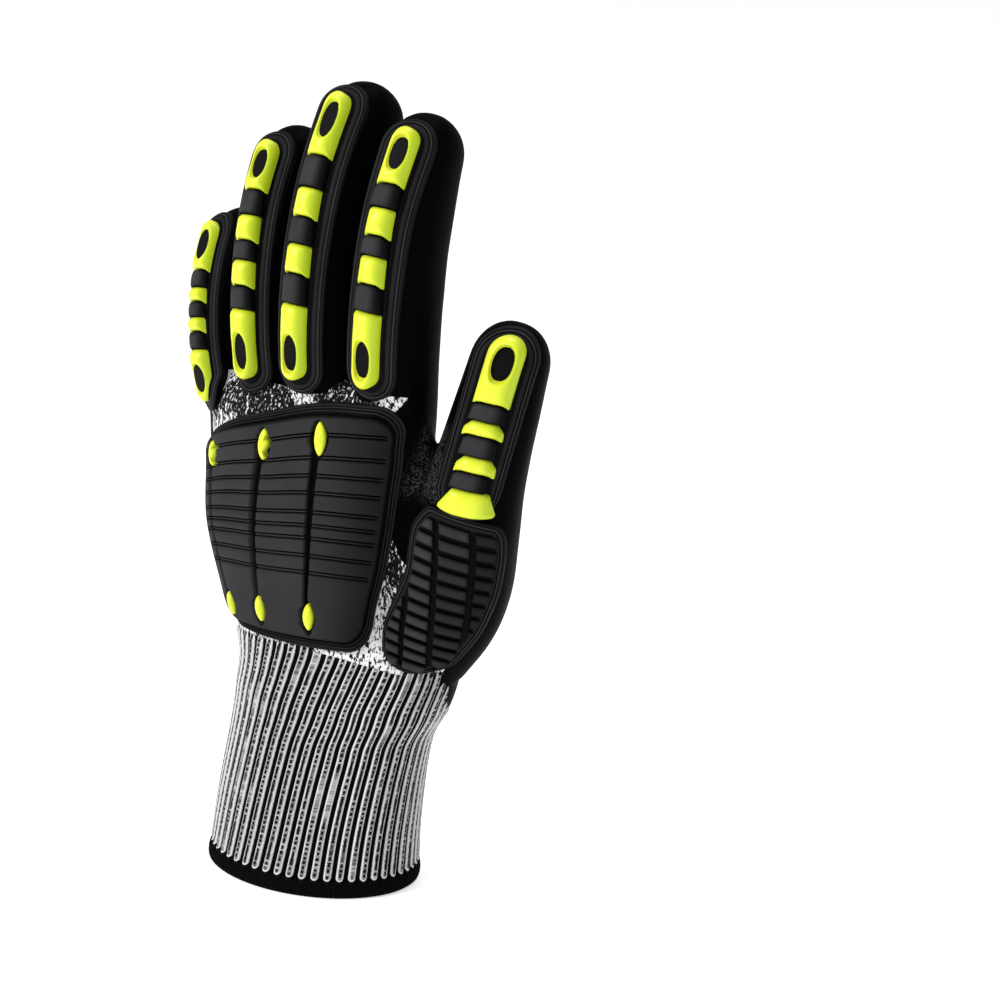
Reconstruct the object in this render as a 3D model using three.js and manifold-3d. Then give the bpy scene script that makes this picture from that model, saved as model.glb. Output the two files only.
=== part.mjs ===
// Left-hand impact glove, standing on its cuff as if a hand filled it.
// Units are millimetres. +Z is up the hand, -Y is the back of the hand, +X is the thumb side.
import * as THREE from "three";
import { mergeVertices } from "three/addons/utils/BufferGeometryUtils.js";
import Module from "manifold-3d";

const wasm = await Module();
wasm.setup();

// Driving dimensions
const GAP = 0.3; // free space kept between neighbouring pieces
const WALL = 2; // knitted fabric with its dipped coating
const HEM_TOP = 6.5; // height of the overlocked hem
const HEM_LIFT = 1; // the hem stands this far out of the cuff
const RIB_COUNT = 52;
const RIB_LIFT = 0.7; // a rib's crest above the mean surface, and its furrow below it
const RIB_LEAN = 12; // degrees that the ribs lean to the thumb side from the hem to the wrist
const KNIT_TOP = 162; // the dipped fingers begin here
const CUFF_TOP = 72; // the ribs end here on the back of the hand
const DIP_DROP = 23; // the coating reaches this much lower in the middle of the palm
const SQUARE = 0.85; // below 1 the section of a digit is squarer than an ellipse
const DIGIT_SIDES = 12;
const INNER_SIDES = 6;
const BODY_SIDES = 20;

// The arm of the glove, section by section: height, centre, half width, half depth, how far the thumb
// edge and the little edge bend towards the palm, as the row of knuckles does, and the slope of the ring.
const ARM_COLUMNS = ["z", "x", "y", "halfWidth", "halfDepth", "thumbBend", "littleBend", "rise"];
const ARM = [
  [0, 0, 0, 37.5, 27.5, 0, 0, 0],
  [22, 1, 2, 36.5, 26.5, 0, 0, 0],
  [48, 4, 5, 36, 26, 0, 0, 0],
  [60, 7, 7.5, 38.5, 28, 0, 0, 0],
  [72, 7.8, 9.5, 39.5, 29, 0, 0, 0],
  [92, 3, 8, 43, 26, 0, 2, 0],
  [112, -1, 6.5, 46.5, 23, 1, 4, 0],
  [132, -2.3, 5.5, 47.3, 20.5, 1, 7, 0.04],
  [148, -3, 4, 46.5, 18, -1, 7, 0.08],
  [158, -3.5, 3.5, 46, 16, -1.5, 5.5, 0.1],
  [167, -3.5, 4, 41, 8, 3, 5, 0.1],
].map((row) => Object.fromEntries(ARM_COLUMNS.map((name, i) => [name, row[i]])));

// The five digits. Each is a tube on a circular arc that starts inside the hand. splay leans it to the
// thumb side, pitch to the palm, roll turns its back to the thumb side, and curl is the bend by its tip.
// Past joint, a distance along the tube, the digit is a piece of its own.
const DIGIT_COLUMNS = [
  "name", "x", "y", "z", "splay", "pitch", "roll", "from", "straight", "curl", "length",
  "half0", "half1", "half2", "half3", "flat", "joint",
];
const DIGITS = [
  ["little", -28.6, 14, 124, -10.5, -12, -15, 0, 28, 50, 90, 9.5, 9.9, 9.7, 8.8, 1.12, 52],
  ["ring", -13.5, 6.5, 130, -1.3, -7, -3, 0, 38, 37, 112, 10.2, 10.9, 10.8, 9.8, 1.13, 47],
  ["middle", 5.6, 2.5, 132, 3.2, -6, 1, 0, 42, 38, 127, 10.8, 11.5, 11.6, 10.6, 1.13, 45],
  ["index", 26.4, 9.8, 120, 5.4, -9.8, 11, 0, 52, 38, 132, 8, 11.4, 12.2, 10.8, 1.12, 57],
  ["thumb", 35, 14, 66, 16.1, -2, 24, 6.5, 55, 16, 126, 9, 19, 14.7, 11.6, 0.97, 84],
].map((row) => Object.fromEntries(DIGIT_COLUMNS.map((name, i) => [name, row[i]])));
const HALF_STATIONS = [0, 0.25, 0.6, 1]; // where along a digit its four half widths stand

// The uncoated back of the hand: its thumb-side edge by height, in degrees of turn from the middle.
const DIP_SIDE = [
  [60, 84],
  [72, 84],
  [86, 72],
  [99, 65],
  [113, 60],
  [126, 53],
  [150, 50],
  [170, 52],
];
const LITTLE_SIDE = -68;

// Mouldings: heights above the hand
const FLANGE_LOW = 1; // a flange at its outline
const FLANGE_TOP = 1.9;
const FLANGE_BEVEL = 1.5; // the flange rises over this width
const SEAT = 2.6; // the lime inserts rest above this height
const BLOCK = 5.4; // the black bars between them reach this height
const INSERT_TOP = 6.2;
const SUNK = -4.5; // a moulding's underside before the hand is cut out of it
const UNDERCUT = 0.72; // the sides of a strip lean in below its flange
const STRIP_ARC = 64; // twice the radius to which a strip is bent across

// A strip on each finger: its two ends along the finger, its half width, the half width of its inserts, and
// the degrees that it is turned about the finger towards the little side, up to its last quarter.
const STRIP_COLUMNS = ["digit", "start", "end", "half", "insertHalf", "turned"];
const STRIPS = [
  ["index", 48.5, 127.5, 9.4, 4.7, 7.5],
  ["middle", 33.5, 122.5, 9.3, 4.7, 3],
  ["ring", 32, 107, 8.9, 4.7, 3],
  ["little", 28, 85, 8.2, 4.5, 0],
].map((row) => Object.fromEntries(STRIP_COLUMNS.map((name, i) => [name, row[i]])));

// The lime inserts of each strip from the knuckle to the tip: where each begins and ends.
const INSERTS = {
  index: [[52, 73], [80, 88], [93, 101], [107, 124]],
  middle: [[37, 58.5], [66.5, 75], [82, 90.5], [99, 118.5]],
  ring: [[35.5, 55], [61, 68.5], [73.5, 81], [87.5, 103]],
  little: [[31.5, 45.2], [49.5, 53.8], [57.5, 61.8], [66, 81]],
  thumb: [[69.8, 76], [81, 86.2], [92, 96.8], [101.8, 123.2]],
};
const INSERT_NAMES = ["knuckle", "lower", "upper", "tip"];

// The thumb guard: a strip that widens into a treaded pad over the ball of the thumb
const THUMB_STRIP = { start: 66, end: 125.5, half: 10.2, insertHalf: 5.8 };
const THUMB_LEAN = 0.08; // the bars and inserts of the thumb rise towards the thumb side
const THUMB_SHIFT = [1.3, 0.7, 0, 0]; // its inserts from the fan to the tip stand off the middle line
const TREAD_TOP = 67.6;
const TREAD_PITCH = 4.8;
const TREAD_ROWS = 11;
const TREAD_HEIGHT = 3.4;
const TREAD_GROOVE = 1.7;
// Outline of the treaded pad: distance along the thumb, its left and its right edge across.
const TREAD_OUTLINE = [
  [9, -15, -10],
  [10.5, -18.2, -4],
  [13, -20.2, 2.5],
  [17, -20.8, 8.5],
  [24, -19.4, 12.4],
  [32, -15.9, 15.5],
  [39, -13.9, 16.9],
  [46, -13, 17.6],
  [54, -14.2, 17.2],
  [60, -14.4, 16.4],
  [64.6, -12.4, 15],
  [67.6, -10.4, 12.5],
];
// The lengthwise grooves of the tread: distance along the thumb, and where each groove runs across.
const TREAD_LINES = [
  [9, -14, 0.8, 10.3],
  [16, -11.2, 0.9, 10.5],
  [24, -9.7, 0.9, 10.9],
  [36, -10, -0.4, 10.7],
  [46, -12.4, -2.4, 9.3],
  [56, -15, -4.5, 7.6],
  [67.6, -18, -7.6, 4.4],
];
const TREAD_NOSE = 2; // the two rows at the lower end of the tread stand this far apart

// The pad over the back of the hand. Its sides by share of its height, walked along the arm from the middle.
const PAD_SIDES = [
  [0, -30, 31.5],
  [0.15, -31.5, 34.3],
  [0.37, -36.3, 40.7],
  [0.52, -39.3, 43.4],
  [0.66, -40.6, 45.1],
  [0.8, -40.9, 47.2],
  [1, -40.9, 48.2],
];
const PAD_BOTTOM = 81.7;
const PAD_TALL = 76; // mean height and half width, for distances given in millimetres
const PAD_WIDE = 36;
const PAD_CORNER = 8;
const PAD_HEIGHT = 4.4;
const PAD_GROOVE = 2.7;
const PAD_KNUCKLE = 3.2; // the corner over the root of the index finger rises by this
// The lengthwise grooves as shares of the half width, at the lower and at the upper lens.
const PAD_COLUMNS = [
  [-0.728, -0.739],
  [-0.243, -0.121],
  [0.336, 0.362],
];
const PAD_LINE_SHIFT = -1.2; // the grooves run beside the middle of their lenses
const PAD_ROWS = [0.322, 0.392, 0.463, 0.514, 0.569, 0.646, 0.715, 0.788, 0.878]; // as shares of the height
const PAD_EDGE = [0, 1.3, 3];
const PAD_EDGE_HEIGHT = [1.4, 3, PAD_HEIGHT];
const LENS_ROWS = [
  [0.122, 0.852],
  [0.138, 0.86],
  [0.138, 0.863],
]; // the rows of the lower and the upper lens of each lengthwise groove
const LENS_HALF_LENGTH = [4.2, 5.2];
const LENS_HALF_WIDTH = [2, 1.65];
// The upper edge follows the knuckles: shares of the half width, and heights.
const PAD_TOP_SHARE = [-1, -0.55, -0.05, 0.3, 0.75, 1];
const PAD_TOP_HEIGHT = [142.5, 150.5, 155.4, 158, 157.8, 156.3];

const rad = THREE.MathUtils.degToRad;
const lerp = THREE.MathUtils.lerp;
const clamp = THREE.MathUtils.clamp;
const smoothstep = THREE.MathUtils.smoothstep;
const vec = (x, y, z) => new THREE.Vector3(x, y, z);

// A smooth value between the entries of a short row of numbers.
function smoothRow(stations, values, at) {
  const last = stations.length - 1;
  const above = stations.findIndex((station) => station > at);
  const i = above < 0 ? last - 1 : Math.max(above - 1, 0);
  const slope = (k) => {
    const [low, high] = [Math.max(k - 1, 0), Math.min(k + 1, last)];
    return (values[high] - values[low]) / (stations[high] - stations[low]);
  };
  const span = stations[i + 1] - stations[i];
  const t = clamp((at - stations[i]) / span, 0, 1);
  const [t2, t3] = [t * t, t * t * t];
  return (
    (2 * t3 - 3 * t2 + 1) * values[i] +
    (t3 - 2 * t2 + t) * slope(i) * span +
    (3 * t2 - 2 * t3) * values[i + 1] +
    (t3 - t2) * slope(i + 1) * span
  );
}

function armAt(z) {
  const heights = ARM.map((row) => row.z);
  const value = (name) => smoothRow(heights, ARM.map((row) => row[name]), z);
  return Object.fromEntries(ARM_COLUMNS.map((name) => [name, value(name)]));
}

// A point of the arm: turn 0 is the middle of the back, a quarter turn is the thumb side.
function armPoint(z, turn, lift) {
  const row = armAt(z);
  const across = Math.sin(turn);
  const x = row.x + (row.halfWidth + lift) * across;
  const bend = across > 0 ? row.thumbBend : row.littleBend;
  const y = row.y - (row.halfDepth + lift) * Math.cos(turn) + bend * across * across;
  return vec(x, y, z + row.rise * (x - row.x));
}

// The spine, frame and radii of one digit.
function digitShape(row) {
  const ahead = vec(Math.sin(rad(row.splay)), 0, Math.cos(rad(row.splay)));
  const back = vec(0, -1, 0).applyAxisAngle(ahead, rad(row.roll));
  const side = ahead.clone().cross(back);
  const bend = rad(row.curl) / (row.length - row.straight);
  const start = rad(row.pitch);
  const root = vec(row.x, row.y, row.z);
  const halves = [row.half0, row.half1, row.half2, row.half3];
  const half = (s) => smoothRow(HALF_STATIONS, halves, clamp(s / row.length, 0, 1));
  // The middle of the tube at distance s, and the direction of its back there.
  const spine = (s) => {
    const early = Math.min(s, row.straight);
    const angle = start + bend * Math.max(0, s - row.straight);
    const forward = early * Math.cos(start) + (Math.sin(angle) - Math.sin(start)) / bend;
    const palmward = early * Math.sin(start) + (Math.cos(start) - Math.cos(angle)) / bend;
    const centre = root.clone().addScaledVector(ahead, forward).addScaledVector(back, -palmward);
    const normal = back.clone().multiplyScalar(Math.cos(angle)).addScaledVector(ahead, Math.sin(angle));
    return { centre, normal };
  };
  // The surface at distance s, turned from the back towards the thumb side.
  const at = (s, turn, lift) => {
    const { centre, normal } = spine(s);
    const dome = row.half3 * 1.15;
    const into = clamp((s - (row.length - dome)) / (dome + lift), 0, 1);
    const shrink = Math.pow(Math.max(0, 1 - Math.pow(into, 2.2)), 1 / 2.2);
    const wide = (half(s) + lift) * shrink;
    const squared = (value) => Math.sign(value) * Math.pow(Math.abs(value), SQUARE);
    return centre
      .addScaledVector(normal, wide * row.flat * squared(Math.cos(turn)))
      .addScaledVector(side, wide * squared(Math.sin(turn)));
  };
  return { ...row, spine, at, half, side, back };
}
const digits = Object.fromEntries(DIGITS.map((row) => [row.name, digitShape(row)]));

// A closed solid through rings of points, the first and last ring closed by a fan.
function loft(rings) {
  const sides = rings[0].length;
  const points = rings.flat();
  const faces = [];
  for (let r = 0; r + 1 < rings.length; r += 1) {
    for (let k = 0; k < sides; k += 1) {
      const a = r * sides + k;
      const b = r * sides + ((k + 1) % sides);
      faces.push(a, b, b + sides, a, b + sides, a + sides);
    }
  }
  const middle = (ring) => ring.reduce((sum, point) => sum.add(point), vec(0, 0, 0)).divideScalar(sides);
  const first = points.push(middle(rings[0])) - 1;
  const last = points.push(middle(rings.at(-1))) - 1;
  const top = (rings.length - 1) * sides;
  for (let k = 0; k < sides; k += 1) {
    const next = (k + 1) % sides;
    faces.push(first, next, k, last, top + k, top + next);
  }
  return solidOf(points, faces);
}

// A slab between an upper and a lower grid of points. Rows run along the piece, columns across it.
function slab(upper, lower) {
  const rows = upper.length;
  const columns = upper[0].length;
  const points = [...upper.flat(), ...lower.flat()];
  const faces = [];
  const quad = (a, b, c, d) => faces.push(a, b, c, a, c, d);
  const under = rows * columns;
  for (let i = 0; i + 1 < rows; i += 1) {
    for (let j = 0; j + 1 < columns; j += 1) {
      const a = i * columns + j;
      quad(a, a + 1, a + columns + 1, a + columns);
      quad(under + a, under + a + columns, under + a + columns + 1, under + a + 1);
    }
  }
  for (let j = 0; j + 1 < columns; j += 1) {
    const b = (rows - 1) * columns + j;
    quad(under + j, under + j + 1, j + 1, j);
    quad(b, b + 1, under + b + 1, under + b);
  }
  for (let i = 0; i + 1 < rows; i += 1) {
    const a = i * columns;
    const b = a + columns - 1;
    quad(a, a + columns, under + a + columns, under + a);
    quad(b, under + b, under + b + columns, b + columns);
  }
  return solidOf(points, faces);
}

// A plug over an outline of [across, along] pairs, between two heights above a surface.
function plug(outline, low, high, place) {
  return loft([low, high].map((height) => outline.map(([across, along]) => place(along, across, height))));
}

function oval(across, along, halfWidth, halfLength, count, power = 1) {
  return turns(count).map((turn) => [
    across + halfWidth * Math.sign(Math.sin(turn)) * Math.pow(Math.abs(Math.sin(turn)), power),
    along - halfLength * Math.cos(turn),
  ]);
}

function solidOf(points, faces) {
  const geometry = new THREE.BufferGeometry().setFromPoints(points);
  geometry.setIndex(faces);
  const merged = mergeVertices(geometry, 1e-4);
  return new wasm.Manifold(
    new wasm.Mesh({
      numProp: 3,
      vertProperties: new Float32Array(merged.attributes.position.array),
      triVerts: new Uint32Array(merged.index.array),
    }),
  );
}

function geometryFrom(solid) {
  const mesh = solid.getMesh();
  const position = new Float32Array(mesh.numVert * 3);
  for (let i = 0; i < mesh.numVert; i += 1) {
    position.set(mesh.vertProperties.subarray(i * mesh.numProp, i * mesh.numProp + 3), i * 3);
  }
  const geometry = new THREE.BufferGeometry();
  geometry.setAttribute("position", new THREE.BufferAttribute(position, 3));
  geometry.setIndex(new THREE.BufferAttribute(new Uint32Array(mesh.triVerts), 1));
  return geometry;
}

function turns(count) {
  return Array.from({ length: count }, (_, k) => (2 * Math.PI * k) / count);
}

// The body of the glove

// Where the coating ends above the cuff, straight between the corners of the arm.
function dipEdge(turn) {
  const corner = (k) => CUFF_TOP - DIP_DROP * smoothstep((k * 2 * Math.PI) / BODY_SIDES, rad(55), Math.PI);
  const away = (Math.abs(Math.atan2(Math.sin(turn), Math.cos(turn))) * BODY_SIDES) / (2 * Math.PI);
  return lerp(corner(Math.floor(away)), corner(Math.floor(away) + 1), away - Math.floor(away));
}

function digitLoft(digit, lift, sides) {
  const along = [0, 0.22, 0.42, 0.62, 0.8].map((t) => lerp(digit.from, digit.length, t));
  const dome = [0.8, 0.35, 0.08].map((t) => digit.length + lift - (digit.half3 + lift) * t);
  return loft([...along, ...dome].map((s) => turns(sides).map((turn) => digit.at(s, turn, lift))));
}

// A block around everything of a digit that is past a distance along it.
function past(digit, s) {
  const { centre, normal } = digit.spine(s);
  const forward = normal.clone().cross(digit.side);
  const corner = (along, u, v) =>
    centre.clone().addScaledVector(forward, along).addScaledVector(digit.side, u).addScaledVector(normal, v);
  const square = [[-40, 40], [40, 40], [40, -40], [-40, -40]];
  return loft([0, 90].map((along) => square.map(([u, v]) => corner(along, u, v))));
}

function handSolid(lift, sides, lowest) {
  const step = lift === -WALL ? 2 : 1; // the hollow needs fewer sections
  const kept = ARM.filter((row, i) => row.z >= CUFF_TOP && (ARM.length - 1 - i) % step === 0);
  const heights = kept.map((row) => row.z);
  heights[0] = CUFF_TOP + 2;
  const ring = (edge, grow) => turns(BODY_SIDES).map((turn) => armPoint(edge(turn), turn, grow));
  heights[heights.length - 1] += Math.min(lift, 0);
  const rings = [ring(lowest, lift - 8), ring(lowest, lift), ...heights.map((z) => ring(() => z, lift))];
  return Object.values(digits).reduce((sum, digit) => sum.add(digitLoft(digit, lift, sides)), loft(rings));
}

const handOuter = handSolid(0, DIGIT_SIDES, (turn) => dipEdge(turn) + GAP / 2);
const handInner = handSolid(-WALL, INNER_SIDES, () => 40);
const handShell = handOuter.subtract(handInner);
const handSpace = handSolid(GAP, DIGIT_SIDES, () => 60); // what the mouldings must keep clear of

function backRegion(grow) {
  const rows = [];
  for (const [z, side] of DIP_SIDE) {
    rows.push({ z: z === 170 ? KNIT_TOP + grow : z, side });
  }
  const columns = Array.from({ length: 6 }, (_, j) => j / 5);
  const grid = (lift) =>
    rows.map(({ z, side }) =>
      columns.map((t) => {
        const edge = (t * 2 - 1) * (grow / 42);
        return armPoint(z, lerp(rad(LITTLE_SIDE), rad(side), t) + edge, lift);
      }),
    );
  return slab(grid(14), grid(-12));
}

function cuffTube() {
  const foot = HEM_TOP + GAP;
  const crest = (k) => (k % 2 === 0 ? RIB_LIFT : -RIB_LIFT);
  const lean = (z) => rad(RIB_LEAN) * Math.pow((z - foot) / (CUFF_TOP - foot), 1.7);
  // A ring of crests and furrows at a share of the way up to the coating.
  const ring = (share, lift) =>
    turns(RIB_COUNT * 2).map((turn, k) => {
      const top = dipEdge(turn + lean(dipEdge(turn))) - GAP / 2;
      const z = lerp(foot, top, share);
      return armPoint(z, turn + lean(z), lift(k));
    });
  const outside = loft([...[0, 0.36, 0.7, 1].map((share) => ring(share, crest)), ring(1, () => -8)]);
  const inside = loft([0, 40, 76].map((z) => turns(BODY_SIDES).map((turn) => armPoint(z, turn, -WALL))));
  return outside.subtract(inside);
}

function hemTube() {
  const ring = (z, lift) => turns(BODY_SIDES).map((turn) => armPoint(z, turn, lift));
  const outside = loft([ring(0, 0.2), ring(1, HEM_LIFT), ring(HEM_TOP - 1, HEM_LIFT), ring(HEM_TOP, 0.3)]);
  return outside.subtract(loft([ring(-1, -WALL - 0.6), ring(HEM_TOP + 1, -WALL - 0.6)]));
}

// The moulded guards

// Half width of a strip with round ends, at a distance from its end.
const round = (distance, half) => (distance >= half ? half : Math.sqrt(half * half - (half - distance) ** 2));

const flange = (distance) => lerp(FLANGE_LOW, FLANGE_TOP, clamp(distance / FLANGE_BEVEL, 0, 1));

// Strips are flatter than the digit under them, and stand turned about it towards the little side.
function stripPlace(digit, turned) {
  return (s, v, height) => {
    const point = digit.at(s, 0, height).addScaledVector(digit.side, v);
    point.addScaledVector(digit.back, -(v * v) / STRIP_ARC);
    const { centre, normal } = digit.spine(s);
    const turn = rad(turned) * (1 - smoothstep(s / digit.length, 0.72, 0.95));
    const across = point.clone().sub(centre).dot(digit.side);
    const up = point.clone().sub(centre).dot(normal);
    point.addScaledVector(digit.side, across * (Math.cos(turn) - 1) - up * Math.sin(turn));
    return point.addScaledVector(normal, across * Math.sin(turn) + up * (Math.cos(turn) - 1));
  };
}

// The black part of a strip, with a bar between each two inserts.
function stripBase(strip, inserts, place) {
  const { start, end, half, insertHalf } = strip;
  const inner = insertHalf + 0.3;
  const across = [half, half - FLANGE_BEVEL, inner + 0.6, inner];
  const columns = [...across.map((v) => -v), ...across.toReversed()];
  const ends = [0.5, 2.5, 6.5];
  const rows = ends.map((d) => ({ s: start + d, d, rise: d > 2 ? SEAT : 0 }));
  for (let i = 0; i + 1 < inserts.length; i += 1) {
    const low = inserts[i][1] + GAP;
    const high = inserts[i + 1][0] - GAP;
    rows.push({ s: low, d: 99, rise: SEAT });
    rows.push({ s: low + 0.4, d: 99, rise: BLOCK });
    rows.push({ s: high - 0.4, d: 99, rise: BLOCK });
    rows.push({ s: high, d: 99, rise: SEAT });
  }
  rows.push(...ends.toReversed().map((d) => ({ s: end - d, d, rise: d > 2 ? SEAT : 0 })));
  const point = ({ s, d, rise }, v, low) => {
    const width = round(Math.min(s - start, end - s), half) / half;
    const edge = Math.min(d, half - Math.abs(v));
    const raised = Math.abs(v) <= inner + 0.01 ? Math.max(rise, flange(edge)) : flange(edge);
    if (low) return place(lerp(s, (start + end) / 2, 0.03), v * width * UNDERCUT, SUNK);
    return place(s, v * width, raised);
  };
  const upper = rows.map((row) => columns.map((v) => point(row, v, false)));
  const lower = rows.map((row) => columns.map((v) => point(row, v, true)));
  return slab(upper, lower);
}

// The plain inserts taper upwards, as shares of the half width.
const INSERT_TAPER = { fan: [1.68, 1], thumb: [1.08, 1], short: [0.97, 0.9] };

// One lime insert. shape is "tip" (round far end, oval hole), "knuckle" (round near end, oval hole),
// "short" or "thumb" (a plain saddle) or "fan" (wide near end).
function insertSolid([start, end], half, shape, place) {
  const length = end - start;
  const across = [half, half * 0.6];
  const columns = [...across.map((v) => -v), ...across.toReversed()];
  const far = shape === "tip";
  const near = shape === "knuckle";
  const distances = [0.3, 1.9];
  const nearRows = near ? distances : [0.01, 0.9];
  const farRows = far ? distances : [0.01, 0.9];
  const middle = far ? [length * 0.5] : [];
  const rows = [...nearRows, ...middle, ...farRows.toReversed().map((d) => length - d)];
  const widthAt = (d) => {
    if (far) return round(length - d, half) / half;
    if (near) return round(d, half) / half;
    const [wide, narrow] = INSERT_TAPER[shape];
    return lerp(wide, narrow, clamp(d / length, 0, 1));
  };
  const point = (d, v, low) => {
    const edge = Math.min(half - Math.abs(v), d, length - d);
    const height = low ? SEAT + GAP : INSERT_TOP - 1.3 * (1 - clamp(edge / 0.9, 0, 1));
    const crown = low && Math.abs(v) < half * 0.7 ? 0.25 : 0;
    return place(start + d, v * widthAt(d), height + crown);
  };
  const upper = rows.map((d) => columns.map((v) => point(d, v, false)));
  const lower = rows.map((d) => columns.map((v) => point(d, v, true)));
  const solid = slab(upper, lower);
  if (!near && !far) return solid;
  const holeHalf = Math.min(5.4, length * 0.27);
  const centre = near ? start + holeHalf + 2.6 : end - holeHalf - 2.6;
  return solid.subtract(plug(oval(0, centre, half * 0.42, holeHalf, 6), SEAT - 1, INSERT_TOP + 2, place));
}

// The thumb guard is a strip that widens into a treaded pad over the ball of the thumb.

// Moves a point outwards to a height above the arm, with a soft transition.
function outOfArm(point, lift) {
  const row = armAt(clamp(point.z, 40, 150));
  const x = (point.x - row.x) / (row.halfWidth + lift);
  const bend = (x > 0 ? row.thumbBend : row.littleBend) * Math.min(x * x, 1);
  const y = (point.y - row.y - bend) / (row.halfDepth + lift);
  const level = Math.hypot(x, y);
  const depth = (1 - level) * 26;
  const push = 0.5 * (depth + Math.sqrt(depth * depth + 9));
  const scale = (level + push / 26) / Math.max(level, 0.05);
  return vec(row.x + (point.x - row.x) * scale, row.y + bend + (point.y - row.y - bend) * scale, point.z);
}

function thumbPlace(s, v, height) {
  const point = stripPlace(digits.thumb, 0)(s, v, height);
  return s > 68 ? point : point.lerp(outOfArm(point, height), smoothstep(68 - s, 0, 14));
}

function treadPad() {
  const stations = TREAD_OUTLINE.map((row) => row[0]);
  const left = (s) => smoothRow(stations, TREAD_OUTLINE.map((row) => row[1]), s);
  const right = (s) => smoothRow(stations, TREAD_OUTLINE.map((row) => row[2]), s);
  const line = (s, k) => smoothRow(TREAD_LINES.map((row) => row[0]), TREAD_LINES.map((row) => row[k]), s);
  const first = TREAD_TOP - 2.6 - TREAD_PITCH * TREAD_ROWS;
  const rows = [0, TREAD_NOSE].map((edge) => ({ s: stations[0] + edge, height: TREAD_GROOVE, edge }));
  for (let k = 0; k <= TREAD_ROWS; k += 1) {
    const s = first + TREAD_PITCH * k;
    if (k > 0) rows.push({ s: s - 0.7, height: TREAD_HEIGHT, edge: 9 });
    rows.push({ s, height: TREAD_GROOVE, edge: 9 });
    if (k < TREAD_ROWS) rows.push({ s: s + 0.7, height: TREAD_HEIGHT, edge: 9 });
  }
  rows.push({ s: TREAD_TOP, height: TREAD_GROOVE, edge: 9 });
  const grid = (low) =>
    rows.map(({ s, height, edge }) => {
      const [from, to] = [left(s), right(s)];
      const list = [[from, 0], [from + FLANGE_BEVEL, FLANGE_BEVEL]];
      for (const k of [1, 2, 3]) {
        const groove = line(s, k);
        list.push([groove - 1.1, 8], [groove, 7], [groove + 1.1, 8]);
      }
      list.push([to - FLANGE_BEVEL, FLANGE_BEVEL], [to, 0]);
      return list.map(([v, kind], j) => {
        const inner = clamp(v, from + FLANGE_BEVEL + 0.04 * (j - 1), to - FLANGE_BEVEL - 0.04 * (11 - j));
        const distance = Math.min(edge, kind);
        const raised = kind === 8 ? height : TREAD_GROOVE;
        return thumbPlace(s, kind < 3 ? v : inner, low ? SUNK : distance < 3 ? flange(distance) : raised);
      });
    });
  return slab(grid(false), grid(true));
}

// The pad over the back of the hand

// The turn at which the arm's section reaches an arc length from the middle of the back.
function turnAt(z, arc) {
  let turn = 0;
  let walked = 0;
  const step = Math.sign(arc) * rad(2);
  let before = armPoint(z, 0, 3);
  while (Math.abs(walked) < Math.abs(arc) && Math.abs(turn) < 2) {
    const next = armPoint(z, turn + step, 3);
    const length = next.distanceTo(before);
    const rest = Math.abs(arc) - Math.abs(walked);
    if (length > rest) return turn + (step * rest) / length;
    walked += length;
    turn += step;
    before = next;
  }
  return turn;
}

// A point of the pad by its share of the half width and share of the height.
function padPlace(share, rowShare, height) {
  const top = smoothRow(PAD_TOP_SHARE, PAD_TOP_HEIGHT, clamp(share, -1, 1));
  const z = lerp(PAD_BOTTOM, top, rowShare);
  const stations = PAD_SIDES.map((row) => row[0]);
  const [little, thumb] = [1, 2].map((k) => smoothRow(stations, PAD_SIDES.map((row) => row[k]), rowShare));
  const rise = PAD_KNUCKLE * smoothstep(rowShare, 0.82, 1) * smoothstep(share, 0.45, 0.85);
  return armPoint(z, turnAt(z, lerp(little, thumb, (share + 1) / 2)), height + rise);
}

// Where a lengthwise groove runs across the pad at a share of its height.
function padColumn(column, rowShare) {
  const [low, high] = LENS_ROWS[column];
  const t = clamp((rowShare - low) / (high - low), 0, 1);
  return lerp(PAD_COLUMNS[column][0], PAD_COLUMNS[column][1], t);
}

function backPad() {
  const share = (mm) => mm / PAD_WIDE;
  const columns = (w) => [
    ...PAD_EDGE.map((mm, i) => [-1 + share(mm), PAD_EDGE_HEIGHT[i], false]),
    ...[0, 1, 2].flatMap((k) =>
      [-0.9, 0, 0.9].map((mm) => [padColumn(k, w) + share(PAD_LINE_SHIFT + mm), 9, mm === 0]),
    ),
    ...PAD_EDGE.map((mm, i) => [1 - share(mm), PAD_EDGE_HEIGHT[i], false]).toReversed(),
  ];
  const rows = [
    ...PAD_EDGE.map((mm, i) => [Math.max(mm, 0.3) / PAD_TALL, PAD_EDGE_HEIGHT[i]]),
    ...PAD_ROWS.flatMap((w) => [[w - 0.9 / PAD_TALL, 9], [w, PAD_GROOVE], [w + 0.9 / PAD_TALL, 9]]),
    ...PAD_EDGE.map((mm, i) => [1 - Math.max(mm, 0.3) / PAD_TALL, PAD_EDGE_HEIGHT[i]]).toReversed(),
  ];
  const grid = (low) =>
    rows.map(([w, rowHeight]) => {
      const distance = Math.min(w, 1 - w) * PAD_TALL;
      const shrink = 1 - share(PAD_CORNER - round(distance, PAD_CORNER));
      return columns(w).map(([u, height, groove]) => {
        const long = groove && w > LENS_ROWS[1][0] && w < LENS_ROWS[1][1] + 0.02 ? PAD_GROOVE : 9;
        const raised = Math.min(height, rowHeight, long, PAD_HEIGHT);
        return padPlace(u * shrink, w, low ? SUNK : raised);
      });
    });
  return slab(grid(false), grid(true));
}

function lensOutline(column, end, grow) {
  const halfLength = (LENS_HALF_LENGTH[end] + grow * 1.5) / PAD_TALL;
  const halfWidth = (LENS_HALF_WIDTH[end] + grow) / PAD_WIDE;
  return oval(PAD_COLUMNS[column][end], LENS_ROWS[column][end], halfWidth, halfLength, 8, 1.3);
}
const lensPlace = (w, u, height) => padPlace(u, w, height);

// The parts of the group

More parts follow.
